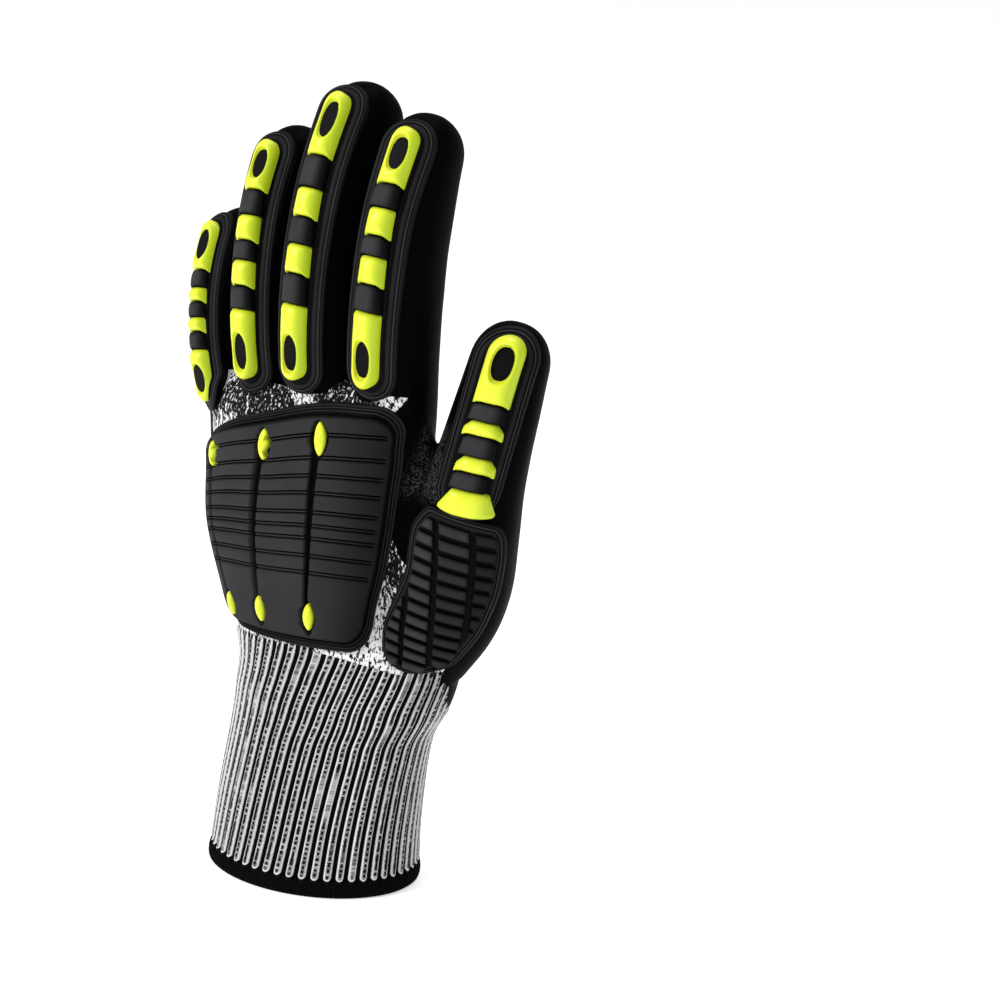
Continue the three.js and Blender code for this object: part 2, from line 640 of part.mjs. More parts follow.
const materials = {
  knit: new THREE.MeshStandardMaterial({ color: 0xb9bab8, roughness: 0.9, metalness: 0 }),
  hem: new THREE.MeshStandardMaterial({ color: 0x161617, roughness: 0.9, metalness: 0 }),
  coating: new THREE.MeshStandardMaterial({ color: 0x121213, roughness: 0.55, metalness: 0 }),
  guard: new THREE.MeshStandardMaterial({ color: 0x242528, roughness: 0.5, metalness: 0 }),
  lime: new THREE.MeshStandardMaterial({ color: 0xdcee33, roughness: 0.45, metalness: 0 }),
};
const glove = new THREE.Group();
function add(name, solid, material) {
  const mesh = new THREE.Mesh(geometryFrom(solid), material);
  mesh.name = name;
  glove.add(mesh);
}

add("hem", hemTube(), materials.hem);
add("knit_cuff", cuffTube(), materials.knit);
add("knit_back", handShell.intersect(backRegion(-GAP / 2)), materials.knit);
let palm = handShell.subtract(backRegion(GAP / 2));
for (const digit of Object.values(digits)) {
  palm = palm.subtract(digitLoft(digit, GAP, DIGIT_SIDES).intersect(past(digit, digit.joint - GAP / 2)));
  const tube = digitLoft(digit, 0, DIGIT_SIDES).subtract(digitLoft(digit, -WALL, INNER_SIDES));
  add(`coated_${digit.name}`, tube.intersect(past(digit, digit.joint + GAP / 2)), materials.coating);
}
add("coated_palm", palm, materials.coating);

let pad = backPad().subtract(handSpace);
for (const end of [0, 1]) {
  for (const column of [0, 1, 2]) {
    pad = pad.subtract(plug(lensOutline(column, end, GAP), PAD_GROOVE - 0.6, 9, lensPlace));
  }
}
add("back_pad", pad, materials.guard);
for (const [end, height] of ["bottom", "top"].entries()) {
  for (const [i, side] of ["little", "middle", "index"].entries()) {
    const lens = plug(lensOutline(i, end, 0), PAD_GROOVE - 0.3, PAD_HEIGHT + 0.6, lensPlace);
    add(`lens_${side}_${height}`, lens, materials.lime);
  }
}

for (const strip of STRIPS) {
  const place = stripPlace(digits[strip.digit], strip.turned);
  const inserts = INSERTS[strip.digit];
  add(`guard_${strip.digit}`, stripBase(strip, inserts, place).subtract(handSpace), materials.guard);
  inserts.forEach((span, i) => {
    const shape = ["knuckle", "short", "short", "tip"][i];
    const name = `insert_${strip.digit}_${INSERT_NAMES[i]}`;
    add(name, insertSolid(span, strip.insertHalf, shape, place), materials.lime);
  });
}

const leaning = (shift) => (s, v, height) => thumbPlace(s + THUMB_LEAN * v, v + shift, height);
const thumbStrip = stripBase(THUMB_STRIP, INSERTS.thumb, leaning(0));
add("guard_thumb", thumbStrip.add(treadPad()).subtract(handSpace), materials.guard);
INSERTS.thumb.forEach((span, i) => {
  const shape = ["fan", "thumb", "thumb", "tip"][i];
  const name = ["fan", "lower", "upper", "tip"][i];
  const place = leaning(THUMB_SHIFT[i]);
  add(`insert_thumb_${name}`, insertSolid(span, THUMB_STRIP.insertHalf, shape, place), materials.lime);
});

// The origin is the middle of the glove's footprint, on the ground.
const bounds = new THREE.Box3().setFromObject(glove);
const middle = bounds.getCenter(vec(0, 0, 0));
glove.position.set(-middle.x, -middle.y, -bounds.min.z);
glove.updateMatrixWorld(true);

export default glove;
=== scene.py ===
"""Left-hand impact glove standing on its hem, seen over the back of the hand from the thumb side."""
import math

import bpy
import numpy as np
from mathutils import Matrix, Vector, noise


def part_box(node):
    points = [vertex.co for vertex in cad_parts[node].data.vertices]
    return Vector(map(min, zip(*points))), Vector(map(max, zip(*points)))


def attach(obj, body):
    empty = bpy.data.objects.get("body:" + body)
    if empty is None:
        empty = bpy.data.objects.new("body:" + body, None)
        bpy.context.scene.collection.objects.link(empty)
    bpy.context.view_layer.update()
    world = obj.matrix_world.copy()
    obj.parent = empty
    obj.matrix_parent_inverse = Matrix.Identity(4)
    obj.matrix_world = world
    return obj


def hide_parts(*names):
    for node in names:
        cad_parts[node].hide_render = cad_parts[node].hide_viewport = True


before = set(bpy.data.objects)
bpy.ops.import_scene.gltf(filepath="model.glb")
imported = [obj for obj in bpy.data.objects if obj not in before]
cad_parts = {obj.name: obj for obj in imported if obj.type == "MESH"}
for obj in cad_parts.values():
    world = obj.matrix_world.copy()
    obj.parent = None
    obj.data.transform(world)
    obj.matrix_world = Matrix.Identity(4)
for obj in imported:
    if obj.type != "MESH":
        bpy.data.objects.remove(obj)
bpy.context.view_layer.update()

TURN = 2 * math.pi

# Sizes in millimetres, in the hand's own frame: the middle of the hem is the origin, +Z is up the hand,
# -Y is the back of the hand, +X is the thumb side.
GAP = 0.3  # between neighbouring pieces
WALL = 2.0
HEM_TOP = 6.5
HEM_LIFT = 1.0
RIB_COUNT = 52
RIB_PITCH = 3.6
BAND_TOP = 5.4  # the round ends of the ribs start here
CUFF_TOP = 72
DIP_DROP = 23  # the coating reaches this far below the cuff's top on the palm
TONGUE = 5
KNIT_TOP = 162
KNIT_WEBS = [[20.5, 4.5, 5.5], [40, 5, 3]]  # where the knit reaches higher: across, width, rise
SQUARE = 0.85
DOME = 1.15  # length of a fingertip's dome over its half width
DOME_POWER = 2.2

ARM_COLUMNS = ["z", "x", "y", "wide", "deep", "thumbBend", "littleBend", "rise"]
ARM = [
    [0, 0, 0, 37.5, 27.5, 0, 0, 0],
    [22, 1, 2, 36.5, 26.5, 0, 0, 0],
    [48, 4, 5, 36, 26, 0, 0, 0],
    [60, 7, 7.5, 38.5, 28, 0, 0, 0],
    [72, 7.8, 9.5, 39.5, 29, 0, 0, 0],
    [92, 3, 8, 43, 26, 0, 2, 0],
    [112, -1, 6.5, 46.5, 23, 1, 4, 0],
    [132, -2.3, 5.5, 47.3, 20.5, 1, 7, 0.04],
    [148, -3, 4, 46.5, 18, -1, 7, 0.08],
    [158, -3.5, 3.5, 46, 16, -1.5, 5.5, 0.1],
    [167, -3.5, 4, 41, 8, 3, 5, 0.1],
]

DIGIT_COLUMNS = ["name", "x", "y", "z", "splay", "pitch", "roll", "start", "straight", "curl", "length"]
DIGIT_COLUMNS += ["half0", "half1", "half2", "half3", "flat"]
DIGITS = [
    ["little", -28.6, 14, 124, -10.5, -12, -15, 0, 28, 50, 90, 9.5, 9.9, 9.7, 8.8, 1.12],
    ["ring", -13.5, 6.5, 130, -1.3, -7, -3, 0, 38, 37, 112, 10.2, 10.9, 10.8, 9.8, 1.13],
    ["middle", 5.6, 2.5, 132, 3.2, -6, 1, 0, 42, 38, 127, 10.8, 11.5, 11.6, 10.6, 1.13],
    ["index", 26.4, 9.8, 120, 5.4, -9.8, 11, 0, 52, 38, 132, 8, 11.4, 12.2, 10.8, 1.12],
    ["thumb", 35, 14, 66, 16.1, -2, 24, 6.5, 55, 16, 126, 9, 19, 14.7, 11.6, 0.97],
]
HALF_STATIONS = [0, 0.25, 0.6, 1]

# The uncoated back: its thumb-side edge by height, in degrees of turn from the middle of the back
DIP_SIDE = [[60, 84], [72, 84], [86, 72], [99, 65], [113, 60], [126, 53], [150, 50], [170, 52]]
LITTLE_SIDE = -68
ARC_OF_DEGREE = 0.72  # millimetres round the hand

# The strips on the digits: heights over the skin, and spans along each digit
BLOCK = 4.6  # top of a black bar
INSERT_TOP = 5.1
SUNK = -4.5
UNDERCUT = 0.72
STRIP_ARC = 64
STRIP_TURNED = (0.72, 0.95)  # over these shares of a digit its strip turns back to the middle
STRIPS = {
    "index": dict(start=48.5, end=127.5, half=9.4, insert=4.7, turned=7.5, lower=0.3, foot=1.6),
    "middle": dict(start=33.5, end=122.5, half=9.3, insert=4.7, turned=3, lower=0.5, foot=1.9),
    "ring": dict(start=32, end=107, half=8.9, insert=4.7, turned=3, lower=0.5, foot=1.8),
    "little": dict(start=28, end=85, half=8.2, insert=4.5, turned=0, lower=1.1, foot=0),
    "thumb": dict(start=66, end=125.5, half=10.2, insert=5.8, turned=0, lower=0, foot=0),
}
INSERTS = {
    "index": [[52, 73], [80, 88], [93, 101], [107, 124]],
    "middle": [[37, 58.5], [66.5, 75], [82, 90.5], [99, 118.5]],
    "ring": [[35.5, 55], [61, 68.5], [73.5, 81], [87.5, 103]],
    "little": [[31.5, 45.2], [49.5, 53.8], [57.5, 61.8], [66, 81]],
    "thumb": [[69.8, 76], [81, 86.2], [92, 96.8], [101.8, 123.2]],
}
INSERT_PARTS = ["knuckle", "lower", "upper", "tip"]
THUMB_LEAN = 0.08
THUMB_SHIFT = [1.3, 0.7, 0, 0]
THUMB_ROOT = 68  # below this the thumb's strip is pushed out of the hand
ROOT_BLEND = 14
ARM_PUSH, ARM_PUSH_SOFT = 26, 3

# The tread: its outline as (distance along the thumb, left edge, right edge), and its lengthwise grooves
TREAD_TOP = 67.6
TREAD_PITCH = 4.5
TREAD_ROWS = 12
TREAD_HEIGHT = 3.4
TREAD_GROOVE = 1.7
TREAD_OUTLINE = [
    [9, -15, -10], [10.5, -18.2, -4], [13, -20.2, 2.5], [17, -20.8, 8.5], [24, -19.4, 12.4],
    [32, -15.9, 15.5], [39, -13.9, 16.9], [46, -13, 17.6], [54, -14.2, 17.2], [60, -14.4, 16.4],
    [64.6, -12.4, 15], [67.6, -10.4, 12.5],
]
TREAD_LINES = [
    [9, -14, 0.8, 10.3], [16, -11.2, 0.9, 10.5], [24, -9.7, 0.9, 10.9], [36, -10, -0.4, 10.7],
    [46, -12.4, -2.4, 9.3], [56, -15, -4.5, 7.6], [67.6, -18, -7.6, 4.4],
]

# The pad: its sides as (share of its height, little side, thumb side), walked along the arm from the middle
PAD_SIDES = [
    [0, -30, 31.5], [0.15, -31.5, 34.3], [0.37, -36.3, 40.7], [0.52, -39.3, 43.4],
    [0.66, -40.6, 45.1], [0.8, -40.9, 47.2], [1, -40.9, 48.2],
]
PAD_BOTTOM = 81.7
PAD_HEIGHT = 4.4
PAD_WIDE = 36
PAD_TALL = 76
PAD_KNUCKLE = 3.2  # extra height over the index knuckle, over these shares along and across
KNUCKLE_ALONG, KNUCKLE_ACROSS = (0.82, 1), (0.45, 0.85)
PAD_CORNERS = (10, 8)  # radii at the bottom and at the top
PAD_PLATEAU = 4.7
# painted light of the pad's plateau: the grey of its lit top
PAD_PAINTED_LIGHT = 0.75
PAD_COLUMNS = [[-0.728, -0.739], [-0.243, -0.121], [0.336, 0.362]]
PAD_LINE_SHIFT = -1.2
PAD_LINE_HALF = (0.9, 1.25, 1.0)
PAD_ROWS = [0.322, 0.392, 0.463, 0.514, 0.569, 0.646, 0.715, 0.788, 0.878]
LENS_ROWS = [[0.122, 0.852], [0.138, 0.86], [0.138, 0.863]]
LENS_HALF_LENGTH = [4.2, 5.2]
LENS_HALF_WIDTH = [2, 1.65]
PAD_TOP_SHARE = [-1, -0.55, -0.05, 0.3, 0.75, 1]
PAD_TOP_HEIGHT = [142.5, 150.5, 155.4, 158, 157.8, 156.3]
# A cross groove is two dark lines beside a thin ridge: distance from its middle, depth, loss of painted light
# (painted shade in the lines, a painted highlight on the ridge where the loss is below 0)
CROSS = [[0.12, 0.3, -0.25], [0.26, 1.3, 0.7], [0.58, 1.3, 0.72], [0.8, 0.2, -0.05], [0.95, 0.0, 0.0]]

# How far the ribs turn to the thumb side, in degrees: height, on the little side, on the thumb side
RIB_LEAN = [
    [6, 0, 0], [17, 2.5, 1.2], [26, 3.8, 2.3], [35, 4.9, 3.7], [44, 6, 5], [53, 7.2, 5], [62, 8.6, 4.4],
    [71, 12.4, 8.6], [79, 18, 14.5], [86, 21, 19],
]
# The black furrows of the cuff end at these heights, by turn in degrees from the middle of the back
FURROW_TOP = [[-90, 76], [-60, 78], [-30, 79.6], [2, 80.4], [25, 79], [40, 77], [60, 74], [90, 74.5]]
# One rib: share of its pitch, height
RIB_PROFILE = [
    (0.0, -0.9), (0.12, -0.75), (0.2, 0.1), (0.26, 0.5), (0.36, 0.68), (0.5, 0.72), (0.64, 0.68), (0.74, 0.5),
    (0.8, 0.1), (0.88, -0.75),
]
# The hem's section: height, distance out of the arm
HEM_PROFILE = [
    (0.4, -WALL - 0.4), (0.0, -1.4), (0.0, 0.1), (0.5, 0.75), (1.4, 1.05), (2.8, 1.15), (4.0, 1.0),
    (4.9, 0.7), (5.4, 0.2), (5.5, -0.6), (5.4, -WALL), (3.0, -WALL - 0.5), (0.4, -WALL - 0.4),
]
HEM_WRAPS = 150
HEM_WEAVE, HEM_SLANT = 0.07, 1.2
HEM_WAVE, HEM_WAVE_FROM = 0.25, 4.8  # where the hem meets the ribs

# Rims as (distance inwards, height, painted light): the bright beads carry painted highlight, the dark lines
# between them painted shade
FLANGE = [
    (0, 0.6, 0.03), (0.12, 1.1, 0.1), (0.3, 1.45, 0.25), (0.6, 1.6, 0.25), (0.8, 1.35, 0.02),
    (0.95, 1.45, 0.1), (1.15, 1.95, 1.0), (1.4, 1.9, 0.8), (1.55, 1.4, 0.02), (1.75, 1.4, 0.02),
    (1.95, 1.8, 0.3), (2.3, 1.95, 0.35), (2.8, 2.0, 0.35), (3.1, 1.95, 0.2), (3.4, 1.85, 0.03),
    (4.0, 1.9, 0.02),
]
PAD_RIM = [
    (0, 0.9, 0.05), (0.15, 1.5, 0.2), (0.4, 1.85, 0.4), (0.75, 1.95, 0.35), (1.0, 1.6, 0.02),
    (1.2, 1.65, 0.05), (1.45, 2.15, 0.8), (1.7, 1.65, 0.02), (1.95, 1.6, 0.0), (2.15, 1.65, 0.02),
    (2.4, 2.2, 0.8), (2.65, 1.7, 0.02), (3.0, 1.65, 0.0), (3.3, 1.8, 0.0), (3.5, 2.6, 0.05),
    (3.7, 3.6, 0.25), (3.95, 4.1, 0.35), (4.3, 4.3, 0.45),
]
# Rounded edges as (distance inwards, drop)
EDGE = [(0, 1.15), (0.08, 0.75), (0.22, 0.45), (0.45, 0.22), (0.8, 0.08), (1.2, 0.0)]
SOFT_EDGE = [(0, 2.6), (0.1, 1.9), (0.3, 1.35), (0.6, 0.9), (1.0, 0.55), (1.5, 0.28), (2.2, 0.1), (3.0, 0.0)]
LEVEL_EDGE = [(0, 0), (1, 0)]
HOLE_EDGE = [(0, 0.9), (0.12, 0.5), (0.35, 0.22), (0.8, 0.06), (1.3, 0)]
# The skirt under a rim: shares of the way up from its sunk ring
SKIRT = (0, 0.4, 0.75, 0.93)
# painted shade: the skirt under a rim is painted near black
SKIRT_SHADE = 0.02


def lerp(a, b, t):
    return a + (b - a) * t


def smoothstep(value, low, high):
    t = np.clip((np.asarray(value, float) - low) / (high - low), 0, 1)
    return t * t * (3 - 2 * t)


def columns(table):
    return np.array(table, float).T


def full_turn(count):
    """Even turns, once round."""
    return np.arange(count) * TURN / count


def smooth_row(stations, values, at):
    """A smooth value between the entries of a short row of numbers."""
    stations, values, at = (np.asarray(v, float) for v in (stations, values, at))
    last = len(stations) - 1
    low = np.maximum(np.arange(last + 1) - 1, 0)
    high = np.minimum(np.arange(last + 1) + 1, last)
    slope = (values[high] - values[low]) / (stations[high] - stations[low])
    i = np.clip(np.searchsorted(stations, at, side="right") - 1, 0, last - 1)
    span = stations[i + 1] - stations[i]
    t = np.clip((at - stations[i]) / span, 0, 1)
    t2, t3 = t * t, t * t * t
    return (
        (2 * t3 - 3 * t2 + 1) * values[i]
        + (t3 - 2 * t2 + t) * slope[i] * span
        + (3 * t2 - 2 * t3) * values[i + 1]
        + (t3 - t2) * slope[i + 1] * span
    )


def arm_at(z):
    heights, *values = columns(ARM)
    return {name: smooth_row(heights, row, z) for name, row in zip(ARM_COLUMNS[1:], values)}


def bend_of(row, across):
    return np.where(across > 0, row["thumbBend"], row["littleBend"])


def arm_point(z, turn, lift):
    """A point of the arm: turn 0 is the middle of the back, a quarter turn is the thumb side."""
    z, turn, lift = np.broadcast_arrays(np.asarray(z, float), turn, lift)
    row = arm_at(z)
    across = np.sin(turn)
    x = row["x"] + (row["wide"] + lift) * across
    y = row["y"] - (row["deep"] + lift) * np.cos(turn) + bend_of(row, across) * across * across
    return np.stack([x, y, z + row["rise"] * (x - row["x"])], axis=-1)


class Digit:
    """The spine, frame and radii of one digit."""

    def __init__(self, row):
        self.__dict__.update(zip(DIGIT_COLUMNS, row))
        splay, roll = math.radians(self.splay), math.radians(self.roll)
        self.ahead = np.array([math.sin(splay), 0, math.cos(splay)])
        self.back = np.array(Matrix.Rotation(roll, 3, Vector(self.ahead)) @ Vector((0, -1, 0)))
        self.side = np.cross(self.ahead, self.back)
        self.bend = math.radians(self.curl) / (self.length - self.straight)
        self.root = np.array([self.x, self.y, self.z], float)

    def half(self, s):
        halves = [self.half0, self.half1, self.half2, self.half3]
        return smooth_row(HALF_STATIONS, halves, np.clip(np.asarray(s) / self.length, 0, 1))

    def spine(self, s):
        s = np.asarray(s, float)
        start = math.radians(self.pitch)
        early = np.minimum(s, self.straight)
        angle = start + self.bend * np.maximum(0, s - self.straight)
        forward = early * math.cos(start) + (np.sin(angle) - math.sin(start)) / self.bend
        inward = early * math.sin(start) + (math.cos(start) - np.cos(angle)) / self.bend
        centre = self.root + forward[..., None] * self.ahead - inward[..., None] * self.back
        normal = np.cos(angle)[..., None] * self.back + np.sin(angle)[..., None] * self.ahead
        return centre, normal

    def at(self, s, turn, lift):
        s, turn, lift = np.broadcast_arrays(np.asarray(s, float), turn, lift)
        centre, normal = self.spine(s)
        dome = self.half3 * DOME
        into = np.clip((s - (self.length - dome)) / (dome + lift), 0, 1)
        wide = (self.half(s) + lift) * np.maximum(0, 1 - into**DOME_POWER) ** (1 / DOME_POWER)
        up, aside = (np.sign(v) * np.abs(v) ** SQUARE for v in (np.cos(turn), np.sin(turn)))
        return centre + (wide * self.flat * up)[..., None] * normal + (wide * aside)[..., None] * self.side

    def strip(self, s, v, height):
        """A point of this digit's strip: flatter than the digit, and turned about it to the little side."""
        s, v = (np.asarray(value, float) for value in (s, v))
        point = self.at(s, 0, height) + v[..., None] * self.side - (v * v / STRIP_ARC)[..., None] * self.back
        centre, normal = self.spine(s)
        turn = math.radians(STRIPS[self.name]["turned"]) * (1 - smoothstep(s / self.length, *STRIP_TURNED))
        across, up = ((point - centre) @ self.side), ((point - centre) * normal).sum(-1)
        sideways = across * (np.cos(turn) - 1) - up * np.sin(turn)
        outwards = across * np.sin(turn) + up * (np.cos(turn) - 1)
        return point + sideways[..., None] * self.side + outwards[..., None] * normal


digits = {row[0]: Digit(row) for row in DIGITS}


def out_of_arm(point, lift):
    """Pushes a point that lies in the arm out to its surface, with a soft change."""
    row = arm_at(np.clip(point[..., 2], 40, 150))
    x = (point[..., 0] - row["x"]) / (row["wide"] + lift)
    bend = bend_of(row, x) * np.minimum(x * x, 1)
    y = (point[..., 1] - row["y"] - bend) / (row["deep"] + lift)
    level = np.hypot(x, y)
    depth = (1 - level) * ARM_PUSH
    push = 0.5 * (depth + np.sqrt(depth * depth + ARM_PUSH_SOFT**2))
    scale = (level + push / ARM_PUSH) / np.maximum(level, 0.05)
    moved = point.copy()
    moved[..., 0] = row["x"] + (point[..., 0] - row["x"]) * scale
    moved[..., 1] = row["y"] + bend + (point[..., 1] - row["y"] - bend) * scale
    return moved


def thumb_place(s, v, height):
    s, v, height = np.broadcast_arrays(np.asarray(s, float), v, height)
    point = digits["thumb"].strip(s, v, height)
    share = smoothstep(THUMB_ROOT - s, 0, ROOT_BLEND)[..., None]
    return point * (1 - share) + out_of_arm(point, height) * share


def leaning(shift):
    """The thumb's strip with its pieces turned and moved a little."""
    return lambda s, v, height: thumb_place(s + THUMB_LEAN * np.asarray(v, float), v + shift, height)


# The turn at which the arm's section reaches an arc length from the middle of the back, as a table
ARC_Z = np.linspace(70, 170, 101)
ARC_TURN = np.radians(np.linspace(-120, 120, 241))


def arc_table():
    rows = []
    for z in ARC_Z:
        line = arm_point(z, ARC_TURN, 3)
        arc = np.concatenate([[0], np.cumsum(np.linalg.norm(np.diff(line, axis=0), axis=1))])
        rows.append(arc - arc[len(arc) // 2])
    return np.array(rows)


ARCS = arc_table()


def turn_at(z, arc):
    z, arc = np.broadcast_arrays(np.asarray(z, float), arc)
    k = np.clip((z - ARC_Z[0]) / (ARC_Z[1] - ARC_Z[0]), 0, len(ARC_Z) - 1.001)
    low = np.floor(k).astype(int)
    flat = [
        lerp(np.interp(a, ARCS[i], ARC_TURN), np.interp(a, ARCS[i + 1], ARC_TURN), t)
        for a, i, t in zip(arc.ravel(), low.ravel(), (k - low).ravel())
    ]
    return np.array(flat).reshape(arc.shape)


def pad_place(along, across, height):
    """A point of the pad, from millimetres along and across it."""
    row_share, share = along / PAD_TALL, across / PAD_WIDE
    row_share, share, height = np.broadcast_arrays(row_share, share, height)
    top = smooth_row(PAD_TOP_SHARE, PAD_TOP_HEIGHT, np.clip(share, -1, 1))
    z = lerp(PAD_BOTTOM, top, row_share)
    stations, *sides = columns(PAD_SIDES)
    little, thumb = (smooth_row(stations, side, row_share) for side in sides)
    rise = PAD_KNUCKLE * smoothstep(row_share, *KNUCKLE_ALONG) * smoothstep(share, *KNUCKLE_ACROSS)
    return arm_point(z, turn_at(z, lerp(little, thumb, (share + 1) / 2)), height + rise)


def degrees_of(turn):
    return np.degrees(np.arctan2(np.sin(turn), np.cos(turn)))


def dip_edge(turn):
    """Height of the coating's lower edge, with a tongue that hangs down on the thumb side."""
    degrees = degrees_of(turn)
    tongue = TONGUE * smoothstep(degrees, 84, 100) * (1 - smoothstep(degrees, 118, 165))
    return CUFF_TOP - DIP_DROP * smoothstep(np.abs(degrees), 55, 180) - tongue


def hem_shift():
    """The row frame stands on the middle of the part's footprint, so the hem's own box gives the shift."""
    rings = [(0, 0.2), (1, HEM_LIFT), (HEM_TOP - 1, HEM_LIFT)]
    ring = np.concatenate([arm_point(z, full_turn(20), lift) for z, lift in rings])
    centre = (ring.min(0) + ring.max(0)) / 2
    low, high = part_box("hem")
    box = (np.array(low) + np.array(high)) * 500
    return np.array([box[0] - centre[0], box[1] - centre[1], 0])


SHIFT = hem_shift()


def to_row(points):
    return (np.asarray(points, float) + SHIFT) / 1000


# Mesh helpers


class Build:
    """Collects grids of points and their faces into one mesh."""

    def __init__(self):
        self.points, self.faces, self.uvs, self.count = [], [], [], 0

    def grid(self, grid, around=False, uv=None, flip=False):
        rows, across = grid.shape[:2]
        ids = self.count + np.arange(rows * across).reshape(rows, across)
        if around:
            ids = np.concatenate([ids, ids[:, :1]], axis=1)
        quads = np.stack([ids[:-1, :-1], ids[:-1, 1:], ids[1:, 1:], ids[1:, :-1]], axis=-1).reshape(-1, 4)
        self.faces.extend((quads[:, ::-1] if flip else quads).tolist())
        self.points.append(np.asarray(grid, float).reshape(-1, 3))
        self.uvs.append(np.zeros((rows * across, 2)) if uv is None else np.asarray(uv, float).reshape(-1, 2))
        self.count += rows * across

    def object(self, name, material, nodes=()):
        mesh = bpy.data.meshes.new(name)
        mesh.from_pydata(to_row(np.concatenate(self.points)).tolist(), [], self.faces)
        uv = np.concatenate(self.uvs)
        if np.any(uv):
            layer = mesh.uv_layers.new(name="uv")
            loops = np.empty(len(mesh.loops), int)
            mesh.loops.foreach_get("vertex_index", loops)
            layer.data.foreach_set("uv", uv[loops].ravel())
        mesh.validate()
        mesh.polygons.foreach_set("use_smooth", [True] * len(mesh.polygons))
        mesh.materials.append(material)
        piece = add_object(name, mesh)
        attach(piece, "root")
        if nodes:
            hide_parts(*nodes)


def add_object(name, data):
    made = bpy.data.objects.new(name, data)
    bpy.context.scene.collection.objects.link(made)
    return made


def resample(outline, step):
    """Even points along a closed outline."""
    closed = np.concatenate([outline, outline[:1]])
    walked = np.concatenate([[0], np.cumsum(np.linalg.norm(np.diff(closed, axis=0), axis=1))])
    count = max(12, int(round(walked[-1] / step)))
    at = np.arange(count) * walked[-1] / count
    return np.stack([np.interp(at, walked, closed[:, k]) for k in (0, 1)], axis=1)


def rounded(outline, step=0.3, radius=0.8):
    """The outline with even points and round corners."""
    outline = resample(np.asarray(outline, float), step)
    for _ in range(max(1, int(round((radius / step) ** 2 / 1.2)))):
        outline = 0.5 * outline + 0.25 * (np.roll(outline, 1, 0) + np.roll(outline, -1, 0))
    return outline


def inset(outline, distance):
    """The outline moved inwards. Points run counter-clockwise as (across, along)."""
    along = np.roll(outline, -1, 0) - np.roll(outline, 1, 0)
    along /= np.maximum(np.linalg.norm(along, axis=1), 1e-9)[:, None]
    inward = np.stack([-along[:, 1], along[:, 0]], axis=1)
    return outline + inward * distance


def painted_light_map(painted_light):
    """The painted light of rubber as a map: 0 is the painted shade of a recess or of a side turned from the
    light, 1 the grey painted highlight of a crest.
    """
    return np.stack([painted_light, np.zeros(painted_light.shape)], axis=-1)


def band(build, flat, heights, painted_light, place, sunk, skirt=SKIRT):
    """Rings inside one another, with their heights and painted light, over a skirt that rises from a sunk
    ring and is painted near black as shade.
    """
    heights = heights[:, None] * np.ones(flat.shape[1])
    grid = place(flat[..., 1], flat[..., 0], heights)
    rising = np.array([lerp(sunk, grid[0], t) for t in skirt])
    dark = np.full(rising.shape[:2], SKIRT_SHADE)
    painted_light = np.concatenate([dark, np.broadcast_to(painted_light, flat.shape[:2])])
    build.grid(np.concatenate([rising, grid]), around=True, uv=painted_light_map(painted_light))


def spine_of(outline):
    """The middle line that an outline shrinks to."""
    middle = (outline.min(0) + outline.max(0)) / 2
    spread = np.ptp(outline, axis=0)
    k = int(spread[1] >= spread[0])
    reach = (spread[k] - spread[1 - k]) / 2
    core = np.tile(middle, (len(outline), 1))
    core[:, k] += np.clip(outline[:, k] - middle[k], -reach, reach)
    return core


def facing(outline, hole):
    """The point of the hole's edge that lies in the same direction as each point of the outline."""
    centre, spread = hole.mean(0), np.ptp(hole, axis=0)
    angle, angles = (np.arctan2(*((line - centre) / spread).T[::-1]) for line in (outline, hole))
    order = np.argsort(angles)
    return np.stack([np.interp(angle, angles[order], hole[order, k], period=TURN) for k in (0, 1)], 1)


def distance_to(line, points):
    return np.sqrt(((points[:, None] - line[None]) ** 2).sum(-1)).min(1)


BUTTON_STEPS = [0.0, 0.08, 0.2, 0.38, 0.65, 1.0, 1.5]
BUTTON_RIM = 0.44  # the most of the way to the middle that the rounded edge may take


def button(build, outline, top, foot, edge, place, painted_light, crown=0.0, hole=None, floor=0.0, shade_drop=0.7, away=0.0):
    """A raised form over an outline, its edge rounded by the drops in edge, with a hole down to floor.

    Its painted light goes to 0 where the edge has dropped by the given drop, painted shade down the rounded
    edge, and fades by away towards the thumb side, painted shade on the side turned from the light.
    """
    inner = spine_of(outline) if hole is None else facing(outline, hole)
    length = np.linalg.norm(outline - inner, axis=1)
    last = len(BUTTON_STEPS) - 1
    limits = [np.minimum(step, BUTTON_RIM * length * k / last) for k, step in enumerate(BUTTON_STEPS)]
    near = [limit / np.maximum(length, 1e-6) for limit in limits]
    shares = near + [np.full(len(length), 0.5)] + [1 - share for share in near[::-1]]
    flat = np.array([lerp(outline, inner, share[:, None]) for share in shares])
    points = flat.reshape(-1, 2)
    distance = distance_to(outline[::2], points)
    distance[: len(outline)] = 0
    drop = np.interp(distance, *columns(edge))
    middle = (outline[:, 0].min() + outline[:, 0].max()) / 2
    across = (points[:, 0] - middle) / np.abs(outline[:, 0]).max()
    heights = top - drop + crown * (1 - across**2)
    if hole is not None:
        distance = distance_to(hole, points)
        distance[-len(outline) :] = 0
        heights -= np.interp(distance, *columns(HOLE_EDGE))
    heights = heights.reshape(flat.shape[:2])
    # painted shade down the rounded edge and towards the thumb side
    painted_light = painted_light * np.clip(1 - drop / shade_drop, 0, 1) * (1 - away * smoothstep(across, 0.15, 0.85))
    painted_light = painted_light.reshape(flat.shape[:2])
    rows = [(flat[:1], np.full_like(heights[:1], foot), painted_light[:1]), (flat, heights, painted_light)]
    if hole is not None:
        rows.append((lerp(hole.mean(0), flat[-1:], 0.8), np.full_like(heights[:1], floor), painted_light[-1:]))
    flat, heights, painted_light = (np.concatenate(part) for part in zip(*rows))
    build.grid(place(flat[..., 1], flat[..., 0], heights), around=True, uv=painted_light_map(painted_light))


